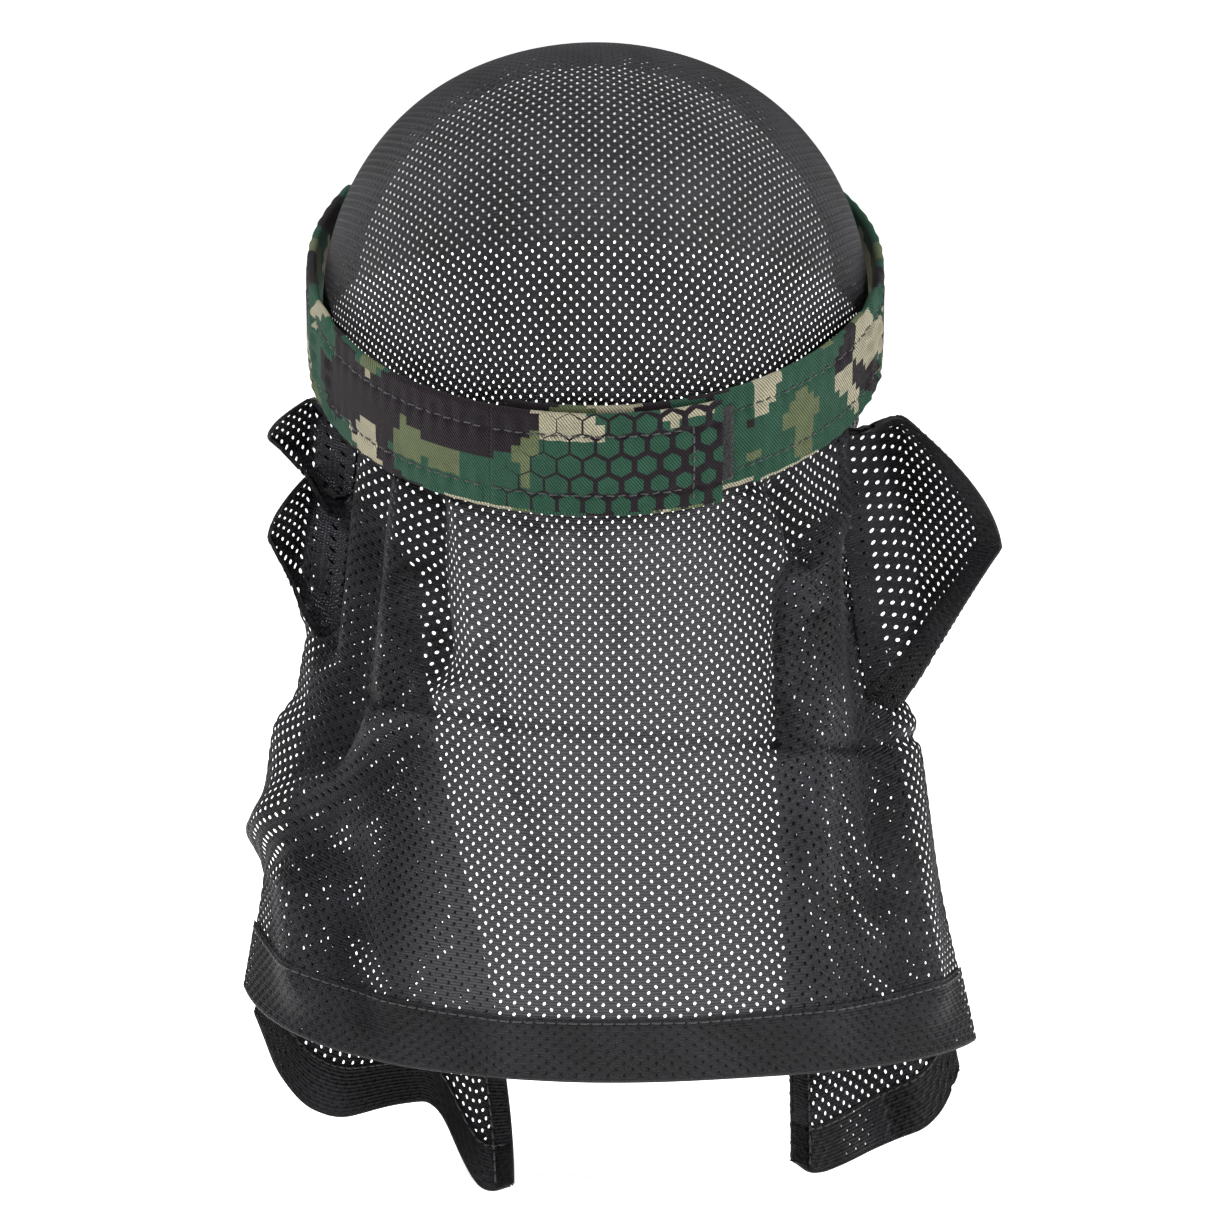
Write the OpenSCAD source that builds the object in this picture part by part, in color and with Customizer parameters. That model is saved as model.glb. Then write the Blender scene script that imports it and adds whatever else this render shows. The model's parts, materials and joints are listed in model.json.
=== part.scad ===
// Mesh head wrap: a padded camouflage band with a hook-and-loop nape closure, a mesh crown over
// the head and a loose mesh drape over the neck. Millimetres. +Z is up, +Y is where the wearer
// looks, +X is the wearer's right. The origin is the centre of the opening that the head fills.

/* [Head ring] */
// Outer half width of the band, across the ears
ring_half_width = 85; // [82:0.5:96]
// Outer half length of the band, nape to forehead
ring_half_length = 100; // [97:0.5:110]
// Outer radius of the band round the nape and the forehead
nape_radius = 80; // [76:0.5:81]
// Angle of the band's plane, forehead higher than nape
band_tilt = 21; // [10:1:25]

/* [Straps] */
// Height of the side and nape straps
strap_height = 33; // [25:0.5:40]
// Thickness of a closed strap, from face to face
strap_thickness = 3; // [2.6:0.1:4]
// Thickness of the twill that each strap is folded from
twill = 0.8; // [0.5:0.1:0.9]
// Thickness of the elastic webbing inside the straps
elastic_thickness = 0.8; // [0.5:0.1:0.8]
// Width of the seam along each long edge of a strap
edge_seam = 3; // [2:0.5:5]
// Distance from a strap's long edge to its row of stitches
stitch_inset = 7; // [5:0.5:9]

/* [Nape closure] */
// Bearing where the free tail starts, from the middle of the nape
tail_root = -16; // [-25:1:-10]
// Bearing where the free tail ends
tail_end = 27; // [20:1:30]
// Bearing of the bar of stitches that closes the tail's end
tail_bar = 20.5; // [17:0.5:22]
// Bearing where the loop field ends, past the tail
loop_end = 31.5; // [29:0.5:40]
// Height of the hook patch and of the loop field
hook_height = 24; // [16:0.5:26]
// Thickness of the hook patch and of the loop field
hook_thickness = 0.7; // [0.5:0.1:1]
// Free space between hooks and loops, and round the elastic
closure_gap = 0.4; // [0.3:0.1:0.8]
// How far the nape strap can be drawn either way, as an angle
adjust_travel = 8; // [4:1:9]

/* [Forehead pad] */
// Greatest height of the pad, at the middle of the forehead
pad_height = 54; // [44:1:64]
// Thickness of the foam
foam_thickness = 5; // [3:0.5:6]
// Thickness of the pad's outer cover
cover_thickness = 1.2; // [0.8:0.1:1.6]
// Thickness of the towelling liner
liner_thickness = 1.5; // [1:0.1:2]
// Where the pad gives way to the straps, as an angle ahead of the ears
pad_end = 24; // [20:1:27]
// Lean of the pad towards the forehead
pad_lean = 7; // [0:1:10]

/* [Mesh cloth] */
// Thickness of the mesh cloth
mesh_thickness = 0.7; // [0.5:0.1:1.2]
// Thickness of a turned and sewn hem
hem_thickness = 1.4; // [1.1:0.1:2]
// Width of the bottom hem
hem_width = 18; // [10:1:25]
// Width of the side hems
side_hem_width = 8; // [5:1:12]
// Height of the crown above the ring's centre
crown_height = 78; // [70:1:90]
// Free space between the side straps and the cloth, at the ears
side_clear = 3.7; // [3.5:0.1:6]
// Length of the drape below the ring's centre, at the middle of the back
drape_drop = 212; // [180:2:250]
// How far the hem rises from the middle of the back to the fold on the wearer's left
left_hem_rise = 20; // [0:1:30]
// How far the hem rises from the middle of the back to the fold on the wearer's right
right_hem_rise = 4; // [0:1:30]
// How far the two lower corners hang past the middle of the hem
corner_drop = 38; // [20:1:50]
// Half width of the drape at its hem
drape_half_width = 104; // [96:1:112]
// How far the excess cloth stands out on the wearer's left
left_wing_reach = 12; // [8:1:18]
// How far the excess cloth stands out on the wearer's right
right_wing_reach = 36; // [24:1:40]

/* [Hidden] */
$fn = 96;

camo = [0.20, 0.27, 0.17];
black_mesh = [0.09, 0.09, 0.10];
towelling = [0.62, 0.63, 0.62];
thread = [0.04, 0.04, 0.04];
thread_size = 0.4;
// Free space under a row of stitches
thread_gap = 0.05;
layer_gap = 0.3;
// Greatest step between the rings of a swept piece, as an angle
sweep_step = 3;

// An oval is [half width, half length, end radius]: two end arcs joined by two flatter side arcs.
outer_oval = [ring_half_width, ring_half_length, nape_radius];
function inset_oval(oval, depth) = [oval[0] - depth, oval[1] - depth, oval[2] - depth];
function end_centre(oval) = oval[1] - oval[2];
function side_radius(oval) =
    (oval[0] ^ 2 + end_centre(oval) ^ 2 - oval[2] ^ 2) / (2 * (oval[0] - oval[2]));
function side_centre(oval) = side_radius(oval) - oval[0];
// Bearing at which an end arc meets a side arc, from the nape or the forehead
function join_bearing(oval) = atan2(side_centre(oval), end_centre(oval));

// Depths of the layers at the nape, from the outer face of the tail inwards
hook_depth = strap_thickness;
loop_depth = hook_depth + hook_thickness + closure_gap;
under_depth = loop_depth + hook_thickness;
mesh_depth = under_depth + strap_thickness + layer_gap;
pad_depth = cover_thickness + foam_thickness + liner_thickness;

// The right strap runs under the tail at the nape and comes back out to the side of the head.
under_oval = [ring_half_width - layer_gap, ring_half_length - under_depth, nape_radius - under_depth];
mesh_side_depth = strap_thickness + side_clear;
mesh_oval = [ring_half_width - mesh_side_depth, ring_half_length - mesh_depth,
    nape_radius - mesh_depth];
nape_strap_start = -(join_bearing(outer_oval) - adjust_travel - 2);
// Bearing to which the cloth runs under the straps, from the nape round towards each ear
cloth_span = 84;
slot_height = strap_height - 2 * edge_seam;
slot_thickness = strap_thickness - 2 * twill;

// A point on an oval, by the bearing of its normal from the nape: 90 is at the ear. It holds from
// one side arc to the other by way of the nape.
function oval_point(oval, bearing, level) = let (b = abs(bearing), side = bearing < 0 ? -1 : 1)
    b <= join_bearing(oval)
    ? [side * oval[2] * sin(b), -end_centre(oval) - oval[2] * cos(b), level]
    : [side * (side_radius(oval) * sin(b) - side_centre(oval)), -side_radius(oval) * cos(b), level];

// ---- Shared shapes -------------------------------------------------------------------------

// Turns a shape from the band's own level frame to its real tilt
module on_band() {
    rotate([band_tilt, 0, 0]) children();
}

// A stretch of the nape arc; its children are a profile whose x is 0 at the oval and falls inwards
module nape_arc(oval, from, to) {
    translate([0, -end_centre(oval), 0])
    rotate([0, 0, from - 90])
    rotate_extrude(angle = to - from)
    translate([oval[2], 0])
    children();
}

// A stretch of the side arc at +X, by its angle ahead of the ear
module side_arc(oval, from, to) {
    translate([-side_centre(oval), 0, 0])
    rotate([0, 0, from])
    rotate_extrude(angle = to - from)
    translate([side_radius(oval), 0])
    children();
}

// Profile of a layer between two depths
module layer(depth, thickness, height, level = 0) {
    translate([-depth - thickness, level - height / 2]) square([thickness, height]);
}

// Profile of a strap: a flat tube of twill round the slot that its elastic lies in
module strap_profile() {
    difference() {
        layer(0, strap_thickness, strap_height);
        layer(twill, slot_thickness, slot_height);
    }
}

// Profile of the elastic, free in the strap's slot
module elastic_profile() {
    spare = slot_thickness - elastic_thickness;
    layer(twill + spare / 2, elastic_thickness, slot_height - 2 * layer_gap);
}

// Profile of the two rows of stitches on a strap's outer face
module stitch_profile() {
    for (side = [-1, 1]) {
        level = side * (strap_height / 2 - stitch_inset);
        layer(-thread_size - thread_gap, thread_size, thread_size, level);
    }
}

// A closed solid through a row of rings of points, with a slot through it if holes are given
module sweep(rings, holes = []) {
    n = len(rings[0]);
    last = len(rings) - 1;
    count = len(rings) * n;
    points = [for (ring = concat(rings, holes)) each ring];
    sides = [
        for (i = [0:last - 1]) for (j = [0:n - 1])
            let (a = i * n + j, b = i * n + (j + 1) % n) each [[a, b, a + n], [b, b + n, a + n]]
    ];
    inner = [for (t = sides) [t[0] + count, t[2] + count, t[1] + count]];
    ends = len(holes) == 0
        ? [[for (j = [n - 1:-1:0]) j], [for (j = [0:n - 1]) last * n + j]]
        : [
            for (j = [0:n - 1]) let (k = (j + 1) % n, far = last * n) each [
                [k, j, j + count], [k, j + count, k + count],
                [far + j, far + k, far + j + count], [far + k, far + k + count, far + j + count]
            ]
        ];
    polyhedron(points = points, faces = concat(sides, len(holes) == 0 ? [] : inner, ends));
}

// Bearings for a sweep, no further apart than the step
function bearings(from, to) = let (n = ceil((to - from) / sweep_step))
    [for (i = [0:n]) from + (to - from) * i / n];

// One ring of a wall that follows an oval: its depth below the oval, its thickness and two levels.
// A leaning wall goes deeper as it rises.
function wall_ring(oval, bearing, depth, thickness, low, high, lean = 0) = [
    for (corner = [[0, low], [0, high], [thickness, high], [thickness, low]])
        oval_point(inset_oval(oval, depth + corner[0] + corner[1] * tan(lean)), bearing, corner[1])
];

// A strap along an oval, hollow for its elastic
module strap_sweep(oval, from, to) {
    half = strap_height / 2;
    slot = slot_height / 2;
    sweep(
        [for (b = bearings(from, to)) wall_ring(oval, b, 0, strap_thickness, -half, half)],
        [for (b = bearings(from, to)) wall_ring(oval, b, twill, slot_thickness, -slot, slot)]
    );
}

module elastic_sweep(oval, from, to) {
    half = slot_height / 2 - layer_gap;
    depth = twill + (slot_thickness - elastic_thickness) / 2;
    sweep([for (b = bearings(from, to)) wall_ring(oval, b, depth, elastic_thickness, -half, half)]);
}

// Two rows of stitches on a strap's outer face
module stitch_sweep(oval, from, to) {
    for (side = [-1, 1]) {
        level = side * (strap_height / 2 - stitch_inset) - thread_size / 2;
        sweep([
            for (b = bearings(from, to))
                wall_ring(oval, b, -thread_size - thread_gap, thread_size, level, level + thread_size)
        ]);
    }
}

// ---- Cloth: a closed solid between two grids of points -------------------------------------

function mix(a, b, t) = a + (b - a) * t;
function ease(t) = t * t * (3 - 2 * t);
function unit(v) = v / norm(v);
// Turns a point from the band's level frame to its real tilt
function tilted(p) = [
    p.x,
    p.y * cos(band_tilt) - p.z * sin(band_tilt),
    p.y * sin(band_tilt) + p.z * cos(band_tilt)
];
function grid_normal(grid, i, j) = let (
    last_i = len(grid) - 1,
    last_j = len(grid[0]) - 1,
    along = grid[i][min(j + 1, last_j)] - grid[i][max(j - 1, 0)],
    down = grid[min(i + 1, last_i)][j] - grid[max(i - 1, 0)][j]
) unit(cross(along, down));
function offset_grid(grid, amount) = [
    for (i = [0:len(grid) - 1]) [
        for (j = [0:len(grid[0]) - 1]) grid[i][j] + amount * grid_normal(grid, i, j)
    ]
];

module shell(outer, inner) {
    rows = len(outer);
    cols = len(outer[0]);
    count = rows * cols;
    points = [for (grid = [outer, inner]) for (row = grid) for (p = row) p];
    face = [
        for (i = [0:rows - 2]) for (j = [0:cols - 2]) let (a = i * cols + j, b = a + cols)
            each [[a, a + 1, b], [a + 1, b + 1, b]]
    ];
    back = [for (t = face) [t[0] + count, t[2] + count, t[1] + count]];
    rim = concat(
        [for (j = [0:cols - 2]) [j, j + 1]],
        [for (i = [0:rows - 2]) [(i + 1) * cols - 1, (i + 2) * cols - 1]],
        [for (j = [cols - 1:-1:1]) [(rows - 1) * cols + j, (rows - 1) * cols + j - 1]],
        [for (i = [rows - 1:-1:1]) [i * cols, (i - 1) * cols]]
    );
    walls = [
        for (e = rim) each [[e[1], e[0], e[0] + count], [e[1], e[0] + count, e[1] + count]]
    ];
    polyhedron(points = points, faces = concat(face, back, walls));
}

module cloth(grid, thickness) {
    shell(offset_grid(grid, thickness / 2), offset_grid(grid, -thickness / 2));
}

// ---- Crown ---------------------------------------------------------------------------------

// Half axes of the crown, just inside the straps and the liner at the band's plane
crown_half_width = mesh_oval[0] - layer_gap;
crown_reach = ring_half_length - mesh_depth - mesh_thickness - layer_gap;
crown_half_length = cos(band_tilt) / sqrt(1 / crown_reach ^ 2 - (sin(band_tilt) / crown_height) ^ 2);
crown_steps = 20;

// Angle from straight up at which the crown meets the band's plane, by bearing from +Y
function rim_angle(bearing) = 90 - atan2(
    tan(band_tilt) * crown_half_length * cos(bearing),
    crown_height
);
function crown_point(s, t, depth) = let (
    x = s * sqrt(1 - t * t / 2),
    y = t * sqrt(1 - s * s / 2),
    bearing = atan2(x, y),
    angle = norm([x, y]) * rim_angle(bearing)
) [
    (crown_half_width - depth) * sin(angle) * sin(bearing),
    (crown_half_length - depth) * sin(angle) * cos(bearing),
    (crown_height - depth) * cos(angle)
];
function crown_grid(depth) = [
    for (i = [0:crown_steps]) [
        for (j = [0:crown_steps])
            crown_point(2 * j / crown_steps - 1, 1 - 2 * i / crown_steps, depth)
    ]
];

module crown_mesh() {
    color(black_mesh)
    shell(crown_grid(0), crown_grid(mesh_thickness));
}

// The cloth between the straps and the head, where the crown runs on into the drape
module nape_mesh() {
    color(black_mesh)
    on_band()
    sweep([
        for (b = bearings(-cloth_span, cloth_span))
            wall_ring(mesh_oval, b, 0, mesh_thickness, -strap_height / 2, 0)
    ]);
}

// ---- Drape ---------------------------------------------------------------------------------

drape_cols = 14;
drape_rows = 8;
hem_gap = 0.3;
// Line where the drape leaves the lower edge of the nape strap; s runs from -1 at -X to 1 at +X
function drape_top(s) = tilted(oval_point(
    inset_oval(mesh_oval, mesh_thickness / 2), s * cloth_span, -strap_height / 2 - layer_gap
));
// Line of the hem's lower edge
function drape_bottom(s) = [
    drape_half_width * sin(80 * s) + (s > 0 ? 7 * s : 0),
    -52 - 48 * cos(82 * s),
    s * s * (s > 0 ? right_hem_rise : left_hem_rise) - drape_drop
];
// The sides fall almost straight at first and flare towards the hem
flare = 1.4;
function drape_point(s, v) = let (top = drape_top(s), bottom = drape_bottom(s)) [
    mix(top.x, bottom.x, v ^ flare),
    mix(top.y, bottom.y, v) - 3 * sin(180 * v),
    mix(top.z, bottom.z, v)
];
function drape_grid(v0, v1, rows) = [
    for (i = [0:rows]) [
        for (j = [0:drape_cols]) drape_point(2 * j / drape_cols - 1, mix(v0, v1, i / rows))
    ]
];
hem_start = 1 - hem_width / (drape_drop - 46);
hem_step = hem_gap / (drape_drop - 46);

module drape_back() {
    color(black_mesh)
    cloth(drape_grid(0, hem_start - hem_step, drape_rows), mesh_thickness);
}

module back_hem() {
    color(black_mesh)
    cloth(drape_grid(hem_start, 1, 2), hem_thickness);
}

// Each side of the sheet turns in at a fold and comes back towards the spine, between the back of
// the drape and the wearer. q runs from the fold to the sheet's side edge, v from top to bottom.
return_top_drop = 62;
return_clear = 7;
function return_fold(side, v) = let (p = drape_point(side, mix(0.16, 1, v)))
    [p.x - side * 3, p.y + return_clear, p.z];
function return_edge(side, v, inner_x, lower) = [
    side * mix(52, inner_x, ease(v)),
    mix(-34, -70, v),
    mix(-return_top_drop - 14, -lower, v)
];
function return_point(side, q, v, inner_x, lower) =
    mix(return_fold(side, v), return_edge(side, v, inner_x, lower), q)
    + [0, 10 * sin(180 * q) * (1 - 0.7 * v), -14 * sin(180 * q) * v];
function return_grid(side, inner_x, lower, q0, q1, v0, v1, cols, rows) = [
    for (i = [0:rows]) [
        for (j = [0:cols])
            return_point(side, mix(q0, q1, j / cols), mix(v0, v1, i / rows), inner_x, lower)
    ]
];
left_inner_x = 24;
right_inner_x = 57;
left_lower = drape_drop + corner_drop;
right_lower = drape_drop + corner_drop - 4;
return_cols = 6;
return_rows = 8;
return_hem_start = 1 - hem_width / (drape_drop - return_top_drop);
side_hem_start = 1 - side_hem_width / 60;
return_gap = 0.005;

module return_sheet(side, inner_x, lower) {
    grid = return_grid(side, inner_x, lower, 0, side_hem_start - return_gap,
        0, return_hem_start - return_gap, return_cols, return_rows);
    cloth(grid, mesh_thickness);
}

module return_bottom_hem(side, inner_x, lower) {
    grid = return_grid(side, inner_x, lower, 0, side_hem_start - return_gap,
        return_hem_start, 1, return_cols, 2);
    cloth(grid, hem_thickness);
}

module return_side_hem(side, inner_x, lower) {
    grid = return_grid(side, inner_x, lower, side_hem_start, 1, 0, 1, 2, return_rows);
    cloth(grid, hem_thickness);
}

module drape_left_return() {
    color(black_mesh) return_sheet(-1, left_inner_x, left_lower);
}

module drape_right_return() {
    color(black_mesh) return_sheet(1, right_inner_x, right_lower);
}

module left_return_hem() {
    color(black_mesh) return_bottom_hem(-1, left_inner_x, left_lower);
}

module right_return_hem() {
    color(black_mesh) return_bottom_hem(1, right_inner_x, right_lower);
}

module left_side_hem() {
    color(black_mesh) return_side_hem(-1, left_inner_x, left_lower);
}

module right_side_hem() {
    color(black_mesh) return_side_hem(1, right_inner_x, right_lower);
}

// ---- Wings: cloth that the band gathers and that stands out behind each ear -----------------

// A wing springs from the drape's side between two stations down it, and stands out to its tip
wing_clear = 1.2;
function wing_point(side, reach, v0, v1, q, v) =
    drape_point(side, mix(v0, v1, v))
    + [side * (wing_clear + reach * q * sin(180 * (0.12 + 0.76 * v))), 8 * sin(180 * q) - 14 * q, -5 * q];
function wing_grid(side, reach, v0, v1, q0, q1, cols, rows) = [
    for (i = [0:rows]) [
        for (j = [0:cols]) wing_point(side, reach, v0, v1, mix(q0, q1, j / cols), i / rows)
    ]
];

module left_upper_wing() {
    color(black_mesh) cloth(wing_grid(-1, left_wing_reach, 0.02, 0.16, 0, 1, 4, 6), mesh_thickness);
}

module left_lower_wing() {
    color(black_mesh) cloth(wing_grid(-1, left_wing_reach, 0.18, 0.38, 0, 1, 4, 6), mesh_thickness);
}

right_wing_start = 0.03;
right_wing_stop = 0.50;
wing_hem_start = 1 - side_hem_width / right_wing_reach;

module right_wing() {
    grid = wing_grid(1, right_wing_reach, right_wing_start, right_wing_stop,
        0, wing_hem_start - return_gap, 5, 8);
    color(black_mesh) cloth(grid, mesh_thickness);
}

module right_wing_hem() {
    grid = wing_grid(1, right_wing_reach, right_wing_start, right_wing_stop, wing_hem_start, 1, 2, 8);
    color(black_mesh) cloth(grid, hem_thickness);
}

// ---- Forehead pad --------------------------------------------------------------------------

// The pad narrows from the middle of the forehead to the height of the straps at its two ends
pad_span = 90 - pad_end;
function pad_half_height(bearing) = mix(strap_height, pad_height, cos(90 * bearing / pad_span)) / 2;

// A layer of the pad between two depths
module pad_layer(depth, thickness) {
    on_band()
    mirror([0, 1, 0])
    sweep([
        for (b = bearings(-pad_span, pad_span)) let (half = pad_half_height(b))
            wall_ring(outer_oval, b, depth, thickness, -half, half, pad_lean)
    ]);
}

module front_cover() {
    color(camo) pad_layer(0, cover_thickness);
}

module front_foam() {
    color([0.25, 0.25, 0.26]) pad_layer(cover_thickness, foam_thickness);
}

module front_liner() {
    color(towelling) pad_layer(cover_thickness + foam_thickness, liner_thickness);
}

// Tape that joins the front edge of the crown to the inside of the pad
module front_seam_tape() {
    tape_height = 9;
    tape_thickness = 0.5;
    color(black_mesh)
    on_band()
    mirror([0, 1, 0])
    sweep([
        for (b = bearings(-pad_span, pad_span))
            wall_ring(outer_oval, b, pad_depth, tape_thickness, -tape_height, 0, pad_lean)
    ]);
}

// Rows of stitches along both long edges of the pad's face
module front_stitching() {
    color(thread)
    on_band()
    mirror([0, 1, 0])
    for (side = [-1, 1]) {
        sweep([
            for (b = bearings(-pad_span, pad_span))
                let (level = side * (pad_half_height(b) - stitch_inset) - thread_size / 2)
                wall_ring(outer_oval, b, -thread_size - thread_gap, thread_size,
                    level, level + thread_size, pad_lean)
        ]);
    }
}

// ---- Side straps ---------------------------------------------------------------------------

side_join = 90 - join_bearing(outer_oval);

module left_strap() {
    color(camo)
    on_band()
    mirror([1, 0, 0])
    side_arc(outer_oval, -side_join, pad_end)
    strap_profile();
}

// The elastic is fixed in the left strap and reaches into the nape strap, which slides over it
module left_elastic() {
    color([0.12, 0.12, 0.12])
    on_band() {
        mirror([1, 0, 0]) side_arc(outer_oval, -side_join, pad_end - 1) elastic_profile();
        nape_arc(outer_oval, -join_bearing(outer_oval), tail_root - adjust_travel - 3) elastic_profile();
    }
}

module left_strap_stitching() {
    color(thread)
    on_band()
    mirror([1, 0, 0])
    side_arc(outer_oval, -side_join, pad_end)
    stitch_profile();
}

under_start = tail_root - 4;
// Free stretch without stitches on each side of the bend that the tail peels at, as an angle
peel_clear = 1.5;
// The right strap ends where its outer face meets the end of the pad
centre_shift = side_centre(outer_oval) - side_centre(under_oval);
under_end = 90 + pad_end + asin(centre_shift * sin(pad_end) / side_radius(under_oval)) - 0.3;

module right_strap() {
    color(camo) on_band() strap_sweep(under_oval, under_start, under_end);
}

module right_elastic() {
    color([0.12, 0.12, 0.12]) on_band() elastic_sweep(under_oval, under_start + 2, under_end - 1);
}

module right_strap_stitching() {
    color(thread) on_band() stitch_sweep(under_oval, loop_end + 1, under_end);
}

module loop_field() {
    color([0.05, 0.05, 0.05])
    on_band()
    nape_arc(outer_oval, under_start + 1, loop_end)
    layer(loop_depth, hook_thickness, hook_height);
}

// ---- Nape strap and its free tail -----------------------------------------------------------

module nape_strap() {
    color(camo) on_band() nape_arc(outer_oval, nape_strap_start, tail_root) strap_profile();
}

module nape_strap_stitching() {
    color(thread) on_band() nape_arc(outer_oval, nape_strap_start, tail_root - peel_clear) stitch_profile();
}

module tail_strap() {
    color(camo)
    on_band()
    nape_arc(outer_oval, tail_root, tail_end)
    layer(0, strap_thickness, strap_height);
}

module tail_stitching() {
    color(thread) on_band() nape_arc(outer_oval, tail_root + peel_clear, tail_bar - 1) stitch_profile();
}

// The bar of stitches across the strap that closes the folded end of the tail
module tail_bar_seam() {
    color(thread)
    on_band()
    nape_arc(outer_oval, tail_bar - 0.2, tail_bar + 0.2)
    layer(-thread_size - thread_gap, thread_size, strap_height - 2 * edge_seam);
}

module hook_patch() {
    color([0.07, 0.07, 0.07])
    on_band()
    nape_arc(outer_oval, tail_root + 3, tail_end - 1.5)
    layer(hook_depth, hook_thickness, hook_height);
}

crown_mesh();
nape_mesh();
drape_back();
drape_left_return();
drape_right_return();
back_hem();
left_return_hem();
right_return_hem();
left_side_hem();
right_side_hem();
left_upper_wing();
left_lower_wing();
right_wing();
right_wing_hem();
front_cover();
front_foam();
front_liner();
front_seam_tape();
front_stitching();
left_strap();
left_elastic();
left_strap_stitching();
right_strap();
right_elastic();
right_strap_stitching();
loop_field();
nape_strap();
nape_strap_stitching();
tail_strap();
tail_stitching();
tail_bar_seam();
hook_patch();
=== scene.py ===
"""Looks of the mesh head wrap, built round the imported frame. Lengths below are millimetres
until a mesh is made; the frame is in metres."""
import json
import math

import bmesh
import bpy
import numpy as np
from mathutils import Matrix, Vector


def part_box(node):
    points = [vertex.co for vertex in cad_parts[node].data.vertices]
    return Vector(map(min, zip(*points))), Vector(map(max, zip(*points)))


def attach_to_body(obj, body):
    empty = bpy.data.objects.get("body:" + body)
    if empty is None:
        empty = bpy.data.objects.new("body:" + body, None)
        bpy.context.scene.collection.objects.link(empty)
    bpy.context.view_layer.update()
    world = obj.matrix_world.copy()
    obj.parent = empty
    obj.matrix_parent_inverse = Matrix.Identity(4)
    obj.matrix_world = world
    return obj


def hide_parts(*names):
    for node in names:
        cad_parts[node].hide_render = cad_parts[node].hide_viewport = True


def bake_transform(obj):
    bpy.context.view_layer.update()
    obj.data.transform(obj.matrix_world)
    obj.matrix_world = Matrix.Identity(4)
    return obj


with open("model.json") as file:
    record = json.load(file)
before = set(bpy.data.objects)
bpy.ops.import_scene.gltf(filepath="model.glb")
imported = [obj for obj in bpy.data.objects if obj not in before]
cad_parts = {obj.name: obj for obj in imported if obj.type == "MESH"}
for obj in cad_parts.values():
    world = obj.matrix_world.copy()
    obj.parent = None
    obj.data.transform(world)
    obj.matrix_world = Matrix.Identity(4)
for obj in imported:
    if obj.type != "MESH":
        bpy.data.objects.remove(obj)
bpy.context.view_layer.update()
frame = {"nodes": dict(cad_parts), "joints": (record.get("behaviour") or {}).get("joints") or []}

MM = 0.001
JOINTS = {j["name"]: j for j in frame["joints"]}


# ---- Sizes read from the frame ---------------------------------------------------------------

def low(node):
    return np.array(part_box(node)[0]) / MM


def high(node):
    return np.array(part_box(node)[1]) / MM


NORMAL = np.array(JOINTS["strap_adjust"]["axis"])
TILT = math.atan2(-NORMAL[1], NORMAL[2])
NAPE_CENTRE = np.array(JOINTS["strap_adjust"]["pos_m"]) / MM
TAIL_ROOT = np.array(JOINTS["tail_peel"]["pos_m"]) / MM
END_CENTRE = float(np.linalg.norm(NAPE_CENTRE))
NAPE_RADIUS = float(np.linalg.norm(TAIL_ROOT - NAPE_CENTRE))
HALF_WIDTH = -low("left_strap")[0]
HALF_LENGTH = END_CENTRE + NAPE_RADIUS
FLOOR_Z = low("left_side_hem")[2] - 5


def level(points):
    """Row frame to the band's own level frame."""
    x, y, z = np.moveaxis(np.asarray(points, float), -1, 0)
    c, s = math.cos(TILT), math.sin(TILT)
    return np.stack([x, y * c + z * s, z * c - y * s], -1)


def tilted(points):
    """The band's level frame to the row frame."""
    x, y, z = np.moveaxis(np.asarray(points, float), -1, 0)
    c, s = math.cos(TILT), math.sin(TILT)
    return np.stack([x, y * c - z * s, y * s + z * c], -1)


STRAP_HEIGHT = 33.0
STRAP_THICKNESS = 3.0
STITCH_INSET = 7.0
TAIL_ROOT_BEARING = math.degrees(math.atan2(level(TAIL_ROOT)[0], -level(TAIL_ROOT)[1] - END_CENTRE))
TAIL_END_BEARING = math.degrees(math.asin(high("tail_strap")[0] / NAPE_RADIUS))
LOOP_END_BEARING = math.degrees(math.asin(high("loop_field")[0] / (NAPE_RADIUS - 4.1)))


class Oval:
    """Two end arcs joined by two flatter side arcs. A bearing is 0 at the nape, 90 at the ear at
    +X and 180 at the forehead, and it is negative on the -X side."""

    def __init__(self, half_width, half_length, end_radius):
        self.centre = half_length - end_radius
        self.end = end_radius
        self.side = (half_width ** 2 + self.centre ** 2 - end_radius ** 2) / (2 * (half_width - end_radius))
        self.side_centre = self.side - half_width
        self.join = math.degrees(math.atan2(self.side_centre, self.centre))

    def at(self, bearing, depth=0.0, z=0.0):
        b = np.abs(bearing)
        angle = np.radians(b)
        side = np.where(np.asarray(bearing) < 0, -1.0, 1.0)
        on_end = (b <= self.join) | (b >= 180 - self.join)
        r = np.where(on_end, self.end, self.side) - depth
        x = r * np.sin(angle) - np.where(on_end, 0, self.side_centre)
        shift = np.where(b <= self.join, -self.centre, np.where(b >= 180 - self.join, self.centre, 0))
        y = shift - r * np.cos(angle)
        return np.stack(np.broadcast_arrays(side * x, y, z), -1)

    def bearing(self, distance):
        """Bearing at a distance along the oval from the nape, signed."""
        table = np.linspace(0, 180, 721)
        run = np.concatenate([[0], np.cumsum(np.linalg.norm(np.diff(self.at(table), axis=0), axis=1))])
        return np.sign(distance) * np.interp(np.abs(distance), run, table)

    def distance(self, bearing):
        table = np.linspace(0, 180, 721)
        run = np.concatenate([[0], np.cumsum(np.linalg.norm(np.diff(self.at(table), axis=0), axis=1))])
        return np.sign(bearing) * np.interp(np.abs(bearing), table, run)


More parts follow.
